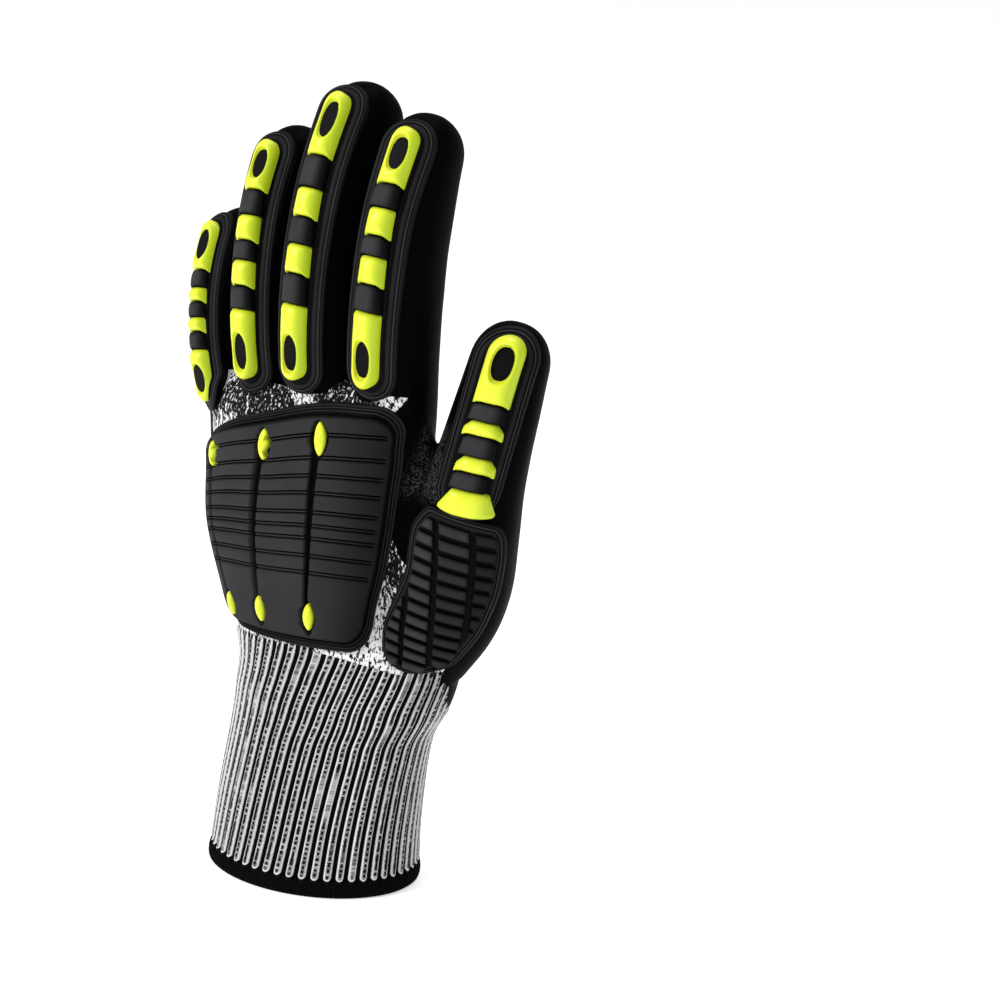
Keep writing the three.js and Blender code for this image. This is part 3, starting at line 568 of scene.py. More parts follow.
def stadium(start, end, half, step=0.45):
    """A strip with round ends, counter-clockwise as (across, along)."""
    ends = max(16, int(math.pi * half / step))
    sides = max(4, int((end - start - 2 * half) / step))
    turn = np.linspace(0, math.pi, ends, endpoint=False)
    low = np.stack([-half * np.cos(turn), start + half - half * np.sin(turn)], 1)
    high = np.stack([half * np.cos(turn), end - half + half * np.sin(turn)], 1)
    up = np.linspace(start + half, end - half, sides, endpoint=False)
    right = np.stack([np.full(sides, half), up], 1)
    left = np.stack([np.full(sides, -half), up[::-1] + (up[1] - up[0])], 1)
    return np.concatenate([low, right, high, left])


# Materials


def grey(value, blue=1.0):
    return (value, value, value * blue, 1)


class Look:
    """A material and the nodes of its shader."""

    def __init__(self, name, roughness, specular):
        self.made = bpy.data.materials.new(name)
        self.made.use_nodes = True
        self.tree = self.made.node_tree
        self.shader = self.tree.nodes["Principled BSDF"]
        self.give(self.shader.inputs["Roughness"], roughness)
        self.give(self.shader.inputs["Specular IOR Level"], specular)

    def give(self, socket, value):
        if isinstance(value, bpy.types.NodeSocket):
            self.tree.links.new(value, socket)
        else:
            socket.default_value = value

    def node(self, kind, values=(), **settings):
        node = self.tree.nodes.new("ShaderNode" + kind)
        for key, value in settings.items():
            setattr(node, key, value)
        for key, value in dict(values).items():
            self.give(node.inputs[key], value)
        return node

    def maths(self, operation, a, b=0.0, c=0.0, clamp=False):
        return self.node("Math", {0: a, 1: b, 2: c}, operation=operation, use_clamp=clamp).outputs[0]

    def times(self, a, b):
        return self.maths("MULTIPLY", a, b)

    def plus(self, a, b):
        return self.maths("ADD", a, b)

    def minus(self, a, b):
        return self.maths("SUBTRACT", a, b)

    def ramp(self, value, low, high, to_low=0.0, to_high=1.0, kind="SMOOTHSTEP"):
        values = {"Value": value, "From Min": low, "From Max": high, "To Min": to_low, "To Max": to_high}
        return self.node("MapRange", values, interpolation_type=kind).outputs[0]

    def noise(self, vector, scale, detail=3.0, rough=0.5, output="Fac"):
        values = {"Vector": vector, "Scale": scale, "Detail": detail, "Roughness": rough}
        return self.node("TexNoise", values).outputs[output]

    def vector(self, operation, a, b):
        key = "Scale" if operation == "SCALE" else 1
        return self.node("VectorMath", {0: a, key: b}, operation=operation).outputs[0]

    def mix(self, factor, a, b):
        node = self.node("Mix", data_type="RGBA")
        for name, value in (("Factor", factor), ("A", a), ("B", b)):
            self.give(next(s for s in node.inputs if s.name == name and s.enabled), value)
        return next(s for s in node.outputs if s.enabled)

    def place(self):
        return self.node("TexCoord").outputs["Object"]

    def maps(self):
        return self.node("SeparateXYZ", {0: self.node("UVMap", uv_map="uv").outputs[0]}).outputs[:2]

    def done(self, colour, height, distance, strength):
        """Gives the shader its colour and a bump."""
        self.give(self.shader.inputs["Base Color"], colour)
        relief = self.node("Bump", {"Height": height, "Distance": distance, "Strength": strength})
        self.give(self.shader.inputs["Normal"], relief.outputs[0])
        return self.made


def coating_material():
    """Black dipped coating: smooth on the back and the sides, painted near black there as shade, and crinkled
    in fine wrinkles over the palm, painted greyer there, partly its crinkled finish and partly painted light,
    with painted highlight along the wrinkles.
    """
    look = Look("coating", roughness=0.5, specular=0.01)
    palm, thin = look.maps()
    place = look.place()
    wander = look.vector("SUBTRACT", look.noise(place, 260.0, 2.0, output="Color"), (0.5, 0.5, 0.5))
    warped = look.vector("ADD", place, look.vector("SCALE", wander, 0.004))
    cells = look.node("TexVoronoi", {"Vector": warped, "Scale": 520.0}, feature="DISTANCE_TO_EDGE")
    crack = look.ramp(cells.outputs["Distance"], 0.0, 0.16)
    fine = look.noise(place, 1500.0, 2.0)
    worm_highlights = look.times(look.maths("SUBTRACT", 1.0, crack, clamp=True), palm)
    back = look.mix(fine, grey(0.0006), grey(0.0016))
    front = look.mix(fine, grey(0.010), grey(0.0145))
    # painted highlight: the crinkle lines on the palm are painted grey as lit crests
    colour = look.mix(worm_highlights, look.mix(palm, back, front), grey(0.034))
    speck = look.ramp(look.noise(place, 1900.0, 2.0, 0.6), 0.5, 0.6)
    colour = look.mix(look.times(speck, thin), colour, grey(0.06))
    height = look.maths("MULTIPLY_ADD", fine, 0.25, look.times(crack, palm))
    return look.done(colour, height, 0.00010, 0.7)


def guard_material():
    """Matte black moulded rubber with painted light: near black where its map paints shade, greyer where it
    paints a highlight.
    """
    look = Look("guard_rubber", roughness=0.5, specular=0.03)
    painted_light, place = look.maps()[0], look.place()
    cloud = look.noise(place, 55.0, 3.0)
    grain = look.noise(place, 2600.0, 2.0)
    shade = look.maths("MULTIPLY", painted_light, look.ramp(cloud, 0.25, 0.75, 0.85, 1.1), clamp=True)
    look.give(look.shader.inputs["Roughness"], look.ramp(grain, 0.2, 0.8, 0.42, 0.58))
    return look.done(look.mix(shade, grey(0.0015, 1.1), grey(0.034, 1.08)), grain, 0.00004, 0.35)


def lime_material():
    """Bright yellow-green moulded rubber with a little mottling, painted a deeper green as shade where its
    painted light is 0, towards the thumb side.
    """
    look = Look("lime_rubber", roughness=0.42, specular=0.35)
    place = look.place()
    light = look.mix(look.noise(place, 160.0, 2.0), (0.62, 0.69, 0.022, 1), (0.72, 0.79, 0.040, 1))
    colour = look.mix(look.maps()[0], (0.42, 0.55, 0.004, 1), light)
    return look.done(colour, look.noise(place, 2200.0, 2.0), 0.00003, 0.3)


def hem_material():
    """Black overlocked edge: slanting thread wraps."""
    look = Look("hem_thread", roughness=0.9, specular=0.02)
    across, up = look.maps()
    wrap = look.maths("SINE", look.times(look.plus(across, up), TURN))
    fuzz = look.noise(look.place(), 1400.0, 3.0)
    height = look.maths("MULTIPLY_ADD", wrap, 0.5, fuzz)
    return look.done(look.mix(fuzz, grey(0.0006), grey(0.004)), height, 0.0003, 0.7)


def cuff_material():
    """Ribbed knit: grey crests edged in white with dark dots and dashes along the middle, black furrows."""
    look = Look("cuff_knit", roughness=0.9, specular=0.1)
    rib, along = look.maps()
    aside = look.maths("ABSOLUTE", look.minus(look.maths("FRACT", rib), 0.5))
    # the crests end round above the hem
    below = look.maths("MINIMUM", look.times(look.minus(along, BAND_TOP + 1.4), 1 / RIB_PITCH), 0.0)
    phase = look.maths("SQRT", look.plus(look.times(aside, aside), look.times(below, below)))
    number = look.maths("FLOOR", rib)
    crest = look.ramp(phase, 0.285, 0.325, 1.0, 0.0)
    place = look.node("CombineXYZ", {0: look.times(number, 7.31), 1: along, 2: 0.0}).outputs[0]
    long = look.noise(place, 0.13, 2.0, 0.6)
    short = look.noise(place, 0.9, 2.0, 0.6)
    kind = look.noise(place, 0.045, 1.0, 0.5)
    # each rib's stitches have their own pitch and offset
    offset = look.times(look.maths("SINE", look.times(number, 12.9)), 3.0)
    pitch = look.maths("MULTIPLY_ADD", look.maths("SINE", look.times(number, 4.7)), 0.08, 0.58)
    step = look.maths("FRACT", look.times(look.plus(along, offset), pitch))
    beat = look.maths("ABSOLUTE", look.minus(step, 0.5))
    dots = look.ramp(look.maths("MULTIPLY_ADD", short, 0.55, beat), 0.42, 0.5)
    marks = look.maths("MAXIMUM", dots, look.ramp(long, 0.5, 0.56))
    middle = look.ramp(phase, 0.09, 0.13, 1.0, 0.0)
    spots = look.times(look.times(marks, middle), look.ramp(kind, 0.32, 0.42))
    slant = look.maths("MULTIPLY_ADD", phase, 3.0, look.times(along, 1.1))
    hatch = look.ramp(look.maths("SINE", look.times(slant, TURN)), -0.2, 0.8, 0.0, 0.75)
    mottle = look.ramp(look.noise(place, 0.5, 3.0, 0.7), 0.35, 0.65)
    body = look.mix(mottle, grey(0.11), grey(0.46))
    body = look.mix(look.times(hatch, look.ramp(long, 0.35, 0.55, 1.0, 0.3)), body, grey(0.06))
    pale = look.mix(look.ramp(phase, 0.17, 0.22), body, grey(0.62))
    colour = look.mix(crest, grey(0.0015), look.mix(spots, pale, grey(0.004)))
    height = look.maths("MULTIPLY_ADD", spots, -1.2, look.times(hatch, -0.5))
    return look.done(colour, height, 0.0003, 0.7)


def knit_material():
    """Fine white knit broken up by black scribbles, denser towards the knuckles."""
    look = Look("knit", roughness=0.92, specular=0.1)
    place = look.place()
    height = look.node("SeparateXYZ", {0: place}).outputs[2]
    strokes = []
    for turn, stretch, scale in ((0.7, 0.42, 1250.0), (-0.8, 0.5, 1100.0)):
        values = {"Vector": place, "Rotation": (0, turn, 0), "Scale": (1.0, 1.0, stretch)}
        strokes.append(look.noise(look.node("Mapping", values).outputs[0], scale, 2.0, 0.6))
    patch = look.ramp(look.noise(place, 95.0, 1.0), 0.42, 0.6, 0.43, 0.54)
    dense = look.ramp(height, 0.084, 0.105, 0.56, patch, "LINEAR")
    dark = look.ramp(look.maths("MAXIMUM", *strokes), dense, look.plus(dense, 0.05), kind="LINEAR")
    return look.done(look.mix(dark, grey(0.74), grey(0.006)), look.times(dark, -1.0), 0.0002, 0.7)


def lining_material():
    """Plain pale knit of the inside."""
    look = Look("lining_knit", roughness=0.95, specular=0.1)
    fine = look.noise(look.place(), 1100.0, 2.0)
    return look.done(look.mix(fine, grey(0.25), grey(0.5)), fine, 0.0002, 0.6)


coating = coating_material()
guard_rubber = guard_material()
lime = lime_material()
hem_thread = hem_material()
cuff_knit = cuff_material()
knit = knit_material()
lining_knit = lining_material()


# Camera, light and floor

CAMERA_TURN, CAMERA_RISE, CAMERA_AWAY = 40, 14.5, 1000  # degrees, degrees, millimetres
PICTURE = 1000  # pixels
FOCAL = 3130  # pixels
AIM, AIM_PIXEL = (0, 0, 130), (313, 480)
SENSOR = 36
# Lights: name, place, size, power
LIGHTS = [
    ("key", (-0.6, -1.15, 0.9), 0.45, 17),
    ("fill", (1.1, -0.4, 0.4), 0.7, 1.5),
    ("top", (0.1, 0.3, 1.4), 0.7, 8),
]
LIGHT_AIM = (0, 0, 0.12)
FLOOR_REACH = 6.0
FLOOR_DROP = 0.0002
FLOOR_GLOW = WORLD_LIGHT = 0.5
WHITE = (1, 1, 1, 1)


def make_camera():
    turn, rise = math.radians(CAMERA_TURN), math.radians(CAMERA_RISE)
    seen = np.array([AIM_PIXEL[0] - PICTURE / 2, PICTURE / 2 - AIM_PIXEL[1]]) / FOCAL
    back = np.array([math.sin(turn) * math.cos(rise), -math.cos(turn) * math.cos(rise), math.sin(rise)])
    right = np.array([math.cos(turn), math.sin(turn), 0])
    yaw = math.atan(seen[0])
    ahead = -back * math.cos(yaw) - right * math.sin(yaw)
    right = right * math.cos(yaw) - back * math.sin(yaw)
    pitch = math.atan(seen[1] * math.cos(yaw))
    ahead = ahead * math.cos(pitch) - np.cross(right, ahead) * math.sin(pitch)
    up = np.cross(right, ahead)
    data = bpy.data.cameras.new("camera")
    data.lens, data.sensor_width = FOCAL * SENSOR / PICTURE, SENSOR
    data.clip_start, data.clip_end = 0.05, 50
    camera = add_object("camera", data)
    facing_turn = Matrix((right, up, -ahead)).transposed().to_4x4()
    camera.matrix_world = Matrix.Translation(Vector(to_row(AIM + back * CAMERA_AWAY))) @ facing_turn
    bpy.context.scene.camera = camera


def make_lights():
    for name, place, size, power in LIGHTS:
        data = bpy.data.lights.new(name, "AREA")
        data.shape, data.size, data.energy = "DISK", size, power
        light = add_object(name, data)
        light.location = place
        light.rotation_mode = "QUATERNION"
        light.rotation_quaternion = (Vector(LIGHT_AIM) - Vector(place)).to_track_quat("-Z", "Y")


def make_stage():
    mesh = bpy.data.meshes.new("floor")
    corners = [(x * FLOOR_REACH, y * FLOOR_REACH, 0) for x, y in ((-1, -1), (1, -1), (1, 1), (-1, 1))]
    mesh.from_pydata(corners, [], [(0, 1, 2, 3)])
    look = Look("floor_white", roughness=0.35, specular=0.3)
    look.give(look.shader.inputs["Base Color"], grey(0.93))
    look.give(look.shader.inputs["Emission Color"], WHITE)
    look.give(look.shader.inputs["Emission Strength"], FLOOR_GLOW)
    mesh.materials.append(look.made)
    floor = add_object("floor", mesh)
    floor.location.z = -FLOOR_DROP
    world = bpy.data.worlds.new("studio")
    world.use_nodes = True
    inputs = world.node_tree.nodes["Background"].inputs
    inputs["Color"].default_value, inputs["Strength"].default_value = WHITE, WORLD_LIGHT
    bpy.context.scene.world = world
    bpy.context.scene.view_settings.view_transform = "Standard"


make_camera()
make_stage()
make_lights()


# The moulded strips on the digits

SKIN_CLEAR = 0.5
SKIN_FADE = (160, 168)  # above these heights the strips are clear of the back of the hand
BAR_CROWN, INSERT_CROWN = 1.1, 1.4
BAR_FOOT, INSERT_FOOT = 1.6, 2.0
HOLE_DEPTH = 3.2
HOLE_FLOOR, HOLE_FLOOR_FOOT = 4.1, 2.2
HOLE_REACH, HOLE_REACH_SHARE, HOLE_MARGIN = 5.7, 0.29, 2.6
HOLE_WIDE, HOLE_POWER = 0.62, 0.85
# Half widths of bars and inserts at their lower and upper ends, over the strip's own
SADDLE_LOW = {"fan": 1.6, "thumb": 1.12, "short": 0.97}
SADDLE_HIGH = {"fan": 1.0, "thumb": 0.72, "short": 0.9}
SADDLE_FLANK = (0.55, 1.08)  # share of the height, half width


def over_skin(points, height):
    """Lifts the points of a strip that would lie under the back of the hand to a height above it."""
    row = arm_at(points[..., 2])
    across = np.clip((points[..., 0] - row["x"]) / row["wide"], -0.98, 0.98)
    ahead = np.sqrt(1 - across * across)
    skin = row["y"] - row["deep"] * ahead + bend_of(row, across) * across * across
    gap = points[..., 1] - skin + height + SKIN_CLEAR
    lift = 0.5 * (gap + np.sqrt(gap * gap + 0.5)) * (1 - smoothstep(points[..., 2], *SKIN_FADE))
    normal = np.stack([across / row["wide"], -ahead / row["deep"], np.zeros_like(across)], -1)
    normal /= np.linalg.norm(normal, axis=-1, keepdims=True)
    return points - (lift * normal[..., 1])[..., None] * normal


def sunk_ring(outline, middle, place):
    return place(lerp(outline[:, 1], middle, 0.03), outline[:, 0] * UNDERCUT, SUNK)


def bow(v, amount):
    return amount * (1 - np.abs(v) ** 4)


def saddle(start, end, half, low_bow, high_bow, shape="short"):
    """Outline of a bar or an insert, counter-clockwise as (across, along)."""
    v, arc = np.linspace(-1, 1, 24), np.linspace(0, math.pi, 24)
    low = np.stack([v * half * SADDLE_LOW.get(shape, 1.0), start + bow(v, low_bow)], 1)
    high = np.stack([-v * half * SADDLE_HIGH.get(shape, 1.0), end + bow(v, high_bow)], 1)
    if shape == "knuckle":
        low = np.stack([-half * np.cos(arc), start + half * (1 - np.sin(arc))], 1)
    if shape == "tip":
        high = np.stack([half * np.cos(arc), end - half * (1 - np.sin(arc))], 1)
    if shape == "thumb":
        flank, wide = lerp(start, end, SADDLE_FLANK[0]), half * SADDLE_FLANK[1]
        return np.concatenate([low, [[wide, flank]], high, [[-wide, flank]]])
    return np.concatenate([low, high])


def hole_of(start, end, half, shape):
    """Outline of the oval hole in a knuckle or tip insert, or None."""
    if shape not in ("knuckle", "tip"):
        return None
    reach = min(HOLE_REACH, (end - start) * HOLE_REACH_SHARE)
    centre = start + reach + HOLE_MARGIN if shape == "knuckle" else end - reach - HOLE_MARGIN
    waves = np.cos(full_turn(144)), np.sin(full_turn(144))
    across, along = (np.sign(wave) * np.abs(wave) ** HOLE_POWER for wave in waves)
    return np.stack([half * HOLE_WIDE * across, centre + reach * along], 1)


def make_strip(name):
    strip, place = STRIPS[name], digits[name].strip if name != "thumb" else leaning(0)
    half, wide, low = strip["half"], strip["insert"], strip["lower"]
    build = Build()
    outline = stadium(strip["start"] - strip["foot"], strip["end"], half)
    inner = half - wide
    under = [(inner - 0.5, 2.1, 0.1), (inner - 0.2, 2.3, 0.0), (inner + 1, 2.4, 0.0), (half - 0.1, 2.4, 0.0)]
    distances, heights, painted_light = columns(FLANGE + under)
    clear = place if name == "thumb" else lambda s, v, h: over_skin(place(s, v, h), h)
    middle = (outline[:, 1].min() + outline[:, 1].max()) / 2
    flat = np.array([inset(outline, distance) for distance in distances])
    band(build, flat, heights, painted_light[:, None], clear, sunk_ring(outline, middle, place))
    spans = INSERTS[name]
    shapes = ["fan" if name == "thumb" else "knuckle", "short", "short", "tip"]
    holes = [hole_of(start, end, wide, shape) for (start, end), shape in zip(spans, shapes)]
    for (_, start), (end, _) in zip(spans[:-1], spans[1:]):
        bar = rounded(saddle(start + GAP, end - GAP, wide + GAP, 0.5, 1.25), radius=0.45)
        # painted light: each bar has a grey painted highlight on its crest and painted shade down its edges
        # and towards the thumb side
        button(build, bar, BLOCK - low, BAR_FOOT, EDGE, place, 0.9, crown=BAR_CROWN, away=0.92)
    for hole in holes:
        if hole is not None:
            # painted shade: the floor of each hole is painted near black
            button(build, inset(hole, -0.5), HOLE_FLOOR, HOLE_FLOOR_FOOT, LEVEL_EDGE, place, 0.1)
    build.object("rubber_" + name, guard_rubber, ["guard_" + name])
    for part, shift, (start, end), shape, hole in zip(INSERT_PARTS, THUMB_SHIFT, spans, shapes, holes):
        fan = shape == "fan"
        kind = "thumb" if name == "thumb" and shape == "short" else shape
        low_bow, radius = (-0.9, 0.8) if fan else (1.25, 0.55)
        outline = rounded(saddle(start, end, wide, low_bow, 0.5, kind), radius=radius)
        where = leaning(shift) if name == "thumb" else place
        build = Build()
        # painted shade: each insert is painted a deeper green towards the thumb side
        form = dict(crown=INSERT_CROWN, hole=hole, floor=HOLE_DEPTH, shade_drop=99, away=0.9)
        button(build, outline, INSERT_TOP - low, INSERT_FOOT, SOFT_EDGE, where, 1.0, **form)
        part = "fan" if fan else part
        build.object(f"lime_{name}_{part}", lime, [f"insert_{name}_{part}"])


for digit_name in STRIPS:
    make_strip(digit_name)


# The treaded pad over the ball of the thumb

TREAD_FILL = (0.12, 0.25, 0.4, 0.55, 0.7, 0.85, 1.0)
TREAD_FOOT = 1.4
TREAD_MARGINS = (2.5, 2.2)  # left and right
TREAD_HALF_GAP = 0.68  # between rows
TREAD_HALF_LINE = 0.95
TREAD_END = 2.6  # from the ends of the tread to its blocks
TREAD_LEAST = (1.2, 1.4)  # length and width below which a block is left out


def tread_blocks(stations, left, right):
    """The corners of each block as (across, along), row by row."""
    first = TREAD_TOP - TREAD_END - TREAD_PITCH * TREAD_ROWS
    along, *grooves = columns(TREAD_LINES)
    for k in range(-1, TREAD_ROWS):
        low = max(first + TREAD_PITCH * k + TREAD_HALF_GAP, stations[0] + TREAD_END)
        high = first + TREAD_PITCH * (k + 1) - TREAD_HALF_GAP
        if high - low < TREAD_LEAST[0]:
            continue
        for column in range(4):
            block = []
            for at in (low, high):
                stops = [-99, *(float(smooth_row(along, line, at)) for line in grooves), 99]
                low_side, high_side = (float(smooth_row(stations, edge, at)) for edge in (left, right))
                a = max(stops[column] + TREAD_HALF_LINE, low_side + TREAD_MARGINS[0])
                b = min(stops[column + 1] - TREAD_HALF_LINE, high_side - TREAD_MARGINS[1])
                block.append([a, max(b, a + 0.5)])
            (a, b), (c, d) = block
            if max(b - a, d - c) >= TREAD_LEAST[1]:
                yield [[a, low], [b, low], [d, high], [c, high]]


def make_tread():
    stations, left, right = columns(TREAD_OUTLINE)
    s = np.linspace(stations[0], stations[-1], 90)
    edges = [smooth_row(stations, values, s) for values in (left, right)]
    outline = np.concatenate([np.stack([edges[1], s], 1), np.stack([edges[0], s], 1)[::-1]])
    outline = rounded(outline, step=0.5, radius=1.2)
    build = Build()
    profile = [(d, h + 0.2, w) for d, h, w in FLANGE[:-4]] + [(2.9, 1.9, 0.2), (3.3, TREAD_GROOVE, 0.05)]
    distances, heights, painted_light = columns(profile)
    flat = [inset(outline, distance) for distance in distances]
    core = np.stack([np.full(len(outline), 1.0), np.clip(flat[-1][:, 1], 24, 56)], 1)
    flat = np.array(flat + [lerp(flat[-1], core, t) for t in TREAD_FILL])
    fill = np.ones(len(TREAD_FILL))
    # painted shade: the groove floor between the blocks is painted near black
    heights, painted_light = np.concatenate([heights, fill * TREAD_GROOVE]), np.concatenate([painted_light, fill * 0.03])
    sunk = sunk_ring(outline, outline[:, 1].mean(), thumb_place)
    band(build, flat, heights, painted_light[:, None], thumb_place, sunk)
    for corners in tread_blocks(stations, left, right):
        shade = lerp(1.0, 0.3, float(smoothstep(np.mean(corners, 0)[0], -8, 12)))
        block = rounded(corners, step=0.4, radius=0.4)
        button(build, block, TREAD_HEIGHT, TREAD_FOOT, EDGE, thumb_place, shade)
    build.object("rubber_thumb_tread", guard_rubber, ["guard_thumb"])


make_tread()


# The pad over the back of the hand

PAD_SKIRT = (0, 0.5, 0.85)
PAD_STEP = 1.2  # between the rows of its mesh, and closer beside the lenses
LENS_NEAR, LENS_STEP = 7.3, 0.35
LENS_SEAT_DEPTH = 2.1
LENS_SEAT_SHIFT = (0.35, 0.3)
# Where the lines of the pad's mesh run beside a long groove, from its middle or from its two edges
NEAR_LEFT, NEAR_RIGHT = [-3.4, -3.0, -2.6], [2.6, 3.0, 3.4, 3.8, 4.2]
NEAR_LOW_EDGE, NEAR_HIGH_EDGE = [-0.5, -0.3, -0.12, 0.1], [-0.1, 0.12, 0.3, 0.6]
# Notches in the thumb side of the two upper lenses, which make them crescents: depth, place, width
LENS_NOTCHES = [(0.75, 0.4, 0.2), (1.0, -0.5, 0.35)]
LENS_LEVELS = [(1.0, 2.3), (1.0, 4.0), (0.93, 4.5), (0.8, 4.85), (0.6, 5.05), (0.35, 5.15), (0.02, 5.2)]


def corner_radius(radius, distance):
    return max(radius - distance * 0.6, 1.2)


def pad_outline(distance):
    """Rounded rectangle of the pad, a distance inside its edge."""
    corners = []
    wide, tall = PAD_WIDE - distance, PAD_TALL - 2 * distance
    for sign, top, turn in ((1, 0, -90), (1, 1, 0), (-1, 1, 90), (-1, 0, 180)):
        radius = corner_radius(PAD_CORNERS[top], distance)
        angle = np.radians(np.linspace(turn, turn + 90, 24))
        centre = (sign * (wide - radius), distance + (tall - radius if top else radius))
        corners.append(np.stack([centre[0] + radius * np.cos(angle), centre[1] + radius * np.sin(angle)], 1))
    outline = []
    for corner, following, count in zip(corners, corners[1:] + corners[:1], (80, 90, 80, 90)):
        between = np.linspace(0, 1, count, endpoint=False)[1:, None]
        outline += [corner, lerp(corner[-1], following[0], between)]
    return np.concatenate(outline)


def pad_limits(along, distance):
    """Half width of the pad's rounded outline at a distance along it."""
    wide = np.full(np.shape(along), PAD_WIDE - distance, float)
    for radius, at in zip(PAD_CORNERS, (along - distance, PAD_TALL - distance - along)):
        radius = corner_radius(radius, distance)
        cut = np.clip(radius - at, 0, radius)
        wide -= radius - np.sqrt(radius * radius - cut * cut)
    return wide


def lines(marks, low, high, step):
    """Even lines between low and high, with the marked ones added."""
    stops = [low, *sorted(m for m in marks if low < m < high), high]
    out = []
    for a, b in zip(stops[:-1], stops[1:]):
        if b - a > 1e-6:
            count = max(1, int(math.ceil((b - a) / step)))
            out.extend(np.linspace(a, b, count, endpoint=False).tolist())
    return np.array(out + [high])


def pad_column(index, along):
    (low, high), rows = PAD_COLUMNS[index], LENS_ROWS[index]
    share = np.clip((along / PAD_TALL - rows[0]) / (rows[1] - rows[0]), 0, 1)
    return PAD_WIDE * lerp(low, high, share)


def pad_line(index, along):
    """Middle and half width of a lengthwise groove, which runs beside the middle of its lenses."""
    half = PAD_LINE_HALF[index] * lerp(0.8, 1.35, np.clip(along / PAD_TALL, 0, 1))
    return pad_column(index, along) + PAD_LINE_SHIFT, half


def lens_middle(index, end):
    along = LENS_ROWS[index][end] * PAD_TALL
    return np.array([pad_column(index, along), along])


def lens_level(across, along, index, end, grow):
    """Below 1 inside the lens-shaped seat at one end of a long groove."""
    middle = lens_middle(index, end)
    u = np.abs(across - middle[0]) / (LENS_HALF_WIDTH[end] + grow)
    w = np.abs(along - middle[1]) / (LENS_HALF_LENGTH[end] + grow * 1.5)
    return u + w**1.8


def pad_thumb_shade(across):
    """Painted shade: the pad's rubber is painted darker towards the thumb, the side turned from the light."""
    return 1 - 0.8 * smoothstep(across / PAD_WIDE, 0.25, 0.95)


def pad_relief(across, along):
    """Height and painted light of the pad inside its rim: painted shade in its grooves and lens seats,
    painted highlight on the ridges.
    """
    height = np.full(np.shape(across), PAD_HEIGHT)
    painted_light = np.full(np.shape(across), PAD_PAINTED_LIGHT)
    reach, depths, losses = columns(CROSS)
    inside = smoothstep(pad_limits(along, PAD_PLATEAU) - np.abs(across), 0.0, 0.7)
    for share in PAD_ROWS:
        away = np.abs(along - share * PAD_TALL)
        height -= np.interp(away, reach, depths) * inside
        painted_light -= np.interp(away, reach, losses) * inside
    for index, (low, high) in enumerate(np.array(LENS_ROWS) * PAD_TALL):
        middle, wide = pad_line(index, along)
        depth = np.interp(np.abs(across - middle) - wide, [-0.1, 0.12], [1.0, 0.0])
        depth *= (along > low) & (along < high)
        for end in (0, 1):
            level = lens_level(across + LENS_SEAT_SHIFT[0], along + LENS_SEAT_SHIFT[1], index, end, 1.0)
            depth = np.maximum(depth, 1 - smoothstep(level, 0.92, 1.06))
        height = np.minimum(height, PAD_HEIGHT - LENS_SEAT_DEPTH * depth)
        painted_light *= 1 - depth
    return height, np.clip(painted_light, 0, 1) * pad_thumb_shade(across)


def pad_mesh_row(along):
    """The places across the pad of the mesh's points in one row, close together at the long grooves."""
    limit = float(pad_limits(along, PAD_PLATEAU))
    stops, counts = [-limit], [6]
    for index in range(3):
        middle, wide = (float(value) for value in pad_line(index, along))
        near = NEAR_LEFT + [d - wide for d in NEAR_LOW_EDGE] + [-wide * 0.5, 0, wide * 0.5]
        near += [d + wide for d in NEAR_HIGH_EDGE] + NEAR_RIGHT
        stops += [middle + d for d in near]
        counts += [1] * (len(near) - 1) + [14 if index < 2 else 16]
    stops.append(limit)
    line = [np.linspace(a, b, n, endpoint=False) for a, b, n in zip(stops[:-1], stops[1:], counts)]
    return np.maximum.accumulate(np.clip(np.concatenate(line + [[limit]]), -limit, limit))


def make_pad():
    build = Build()
    distances, heights, painted_light = columns(PAD_RIM + [(PAD_PLATEAU, PAD_HEIGHT, PAD_PAINTED_LIGHT)])
    flat = np.array([pad_outline(distance) for distance in distances])
    outer = flat[0]
    sunk = pad_place(lerp(outer[:, 1], PAD_TALL / 2, 0.02), outer[:, 0] * 0.98, SUNK)
    painted_light = np.where((distances > 3)[:, None], painted_light[:, None] * pad_thumb_shade(flat[..., 0]), painted_light[:, None])
    band(build, flat, heights, painted_light, pad_place, sunk, PAD_SKIRT)
    marks = [share * PAD_TALL + side * row[0] for share in PAD_ROWS for side in (-1, 1) for row in CROSS]
    for end in (0, 1):
        middle = lens_middle(1, end)[1]
        marks += np.arange(middle - LENS_NEAR, middle + LENS_NEAR, LENS_STEP).tolist()
    rows = lines(marks, PAD_PLATEAU, PAD_TALL - PAD_PLATEAU, PAD_STEP)
    across = np.array([pad_mesh_row(row) for row in rows])
    along = np.broadcast_to(rows[:, None], across.shape)
    height, painted_light = pad_relief(across, along)
    build.grid(pad_place(along, across, height), uv=painted_light_map(painted_light))
    build.object("rubber_back_pad", guard_rubber, ["back_pad"])


def make_lens(index, end, name):
    middle = lens_middle(index, end)
    turn = full_turn(64)
    wide, up = np.sign(np.cos(turn)) * np.abs(np.cos(turn)) ** 1.35, np.sin(turn)
    if end == 1 and index < 2:
        notch = sum(depth * np.exp(-(((up - at) / width) ** 2)) for depth, at, width in LENS_NOTCHES)
        wide = np.where(wide > 0, wide * (1.15 - notch), wide)
    spread = np.stack([LENS_HALF_WIDTH[end] * wide, LENS_HALF_LENGTH[end] * up], 1)
    rings = []
    for share, height in LENS_LEVELS:
        across, along = (middle + spread * share).T
        rings.append(pad_place(along, across, height))
    build = Build()
    # painted shade: each lens is painted a deeper green on its thumb side
    painted_light = np.tile(1 - 0.7 * smoothstep(wide, 0.2, 0.9), (len(rings), 1))
    build.grid(np.array(rings), around=True, uv=painted_light_map(painted_light))
    build.object("lime_lens_" + name, lime, ["lens_" + name])


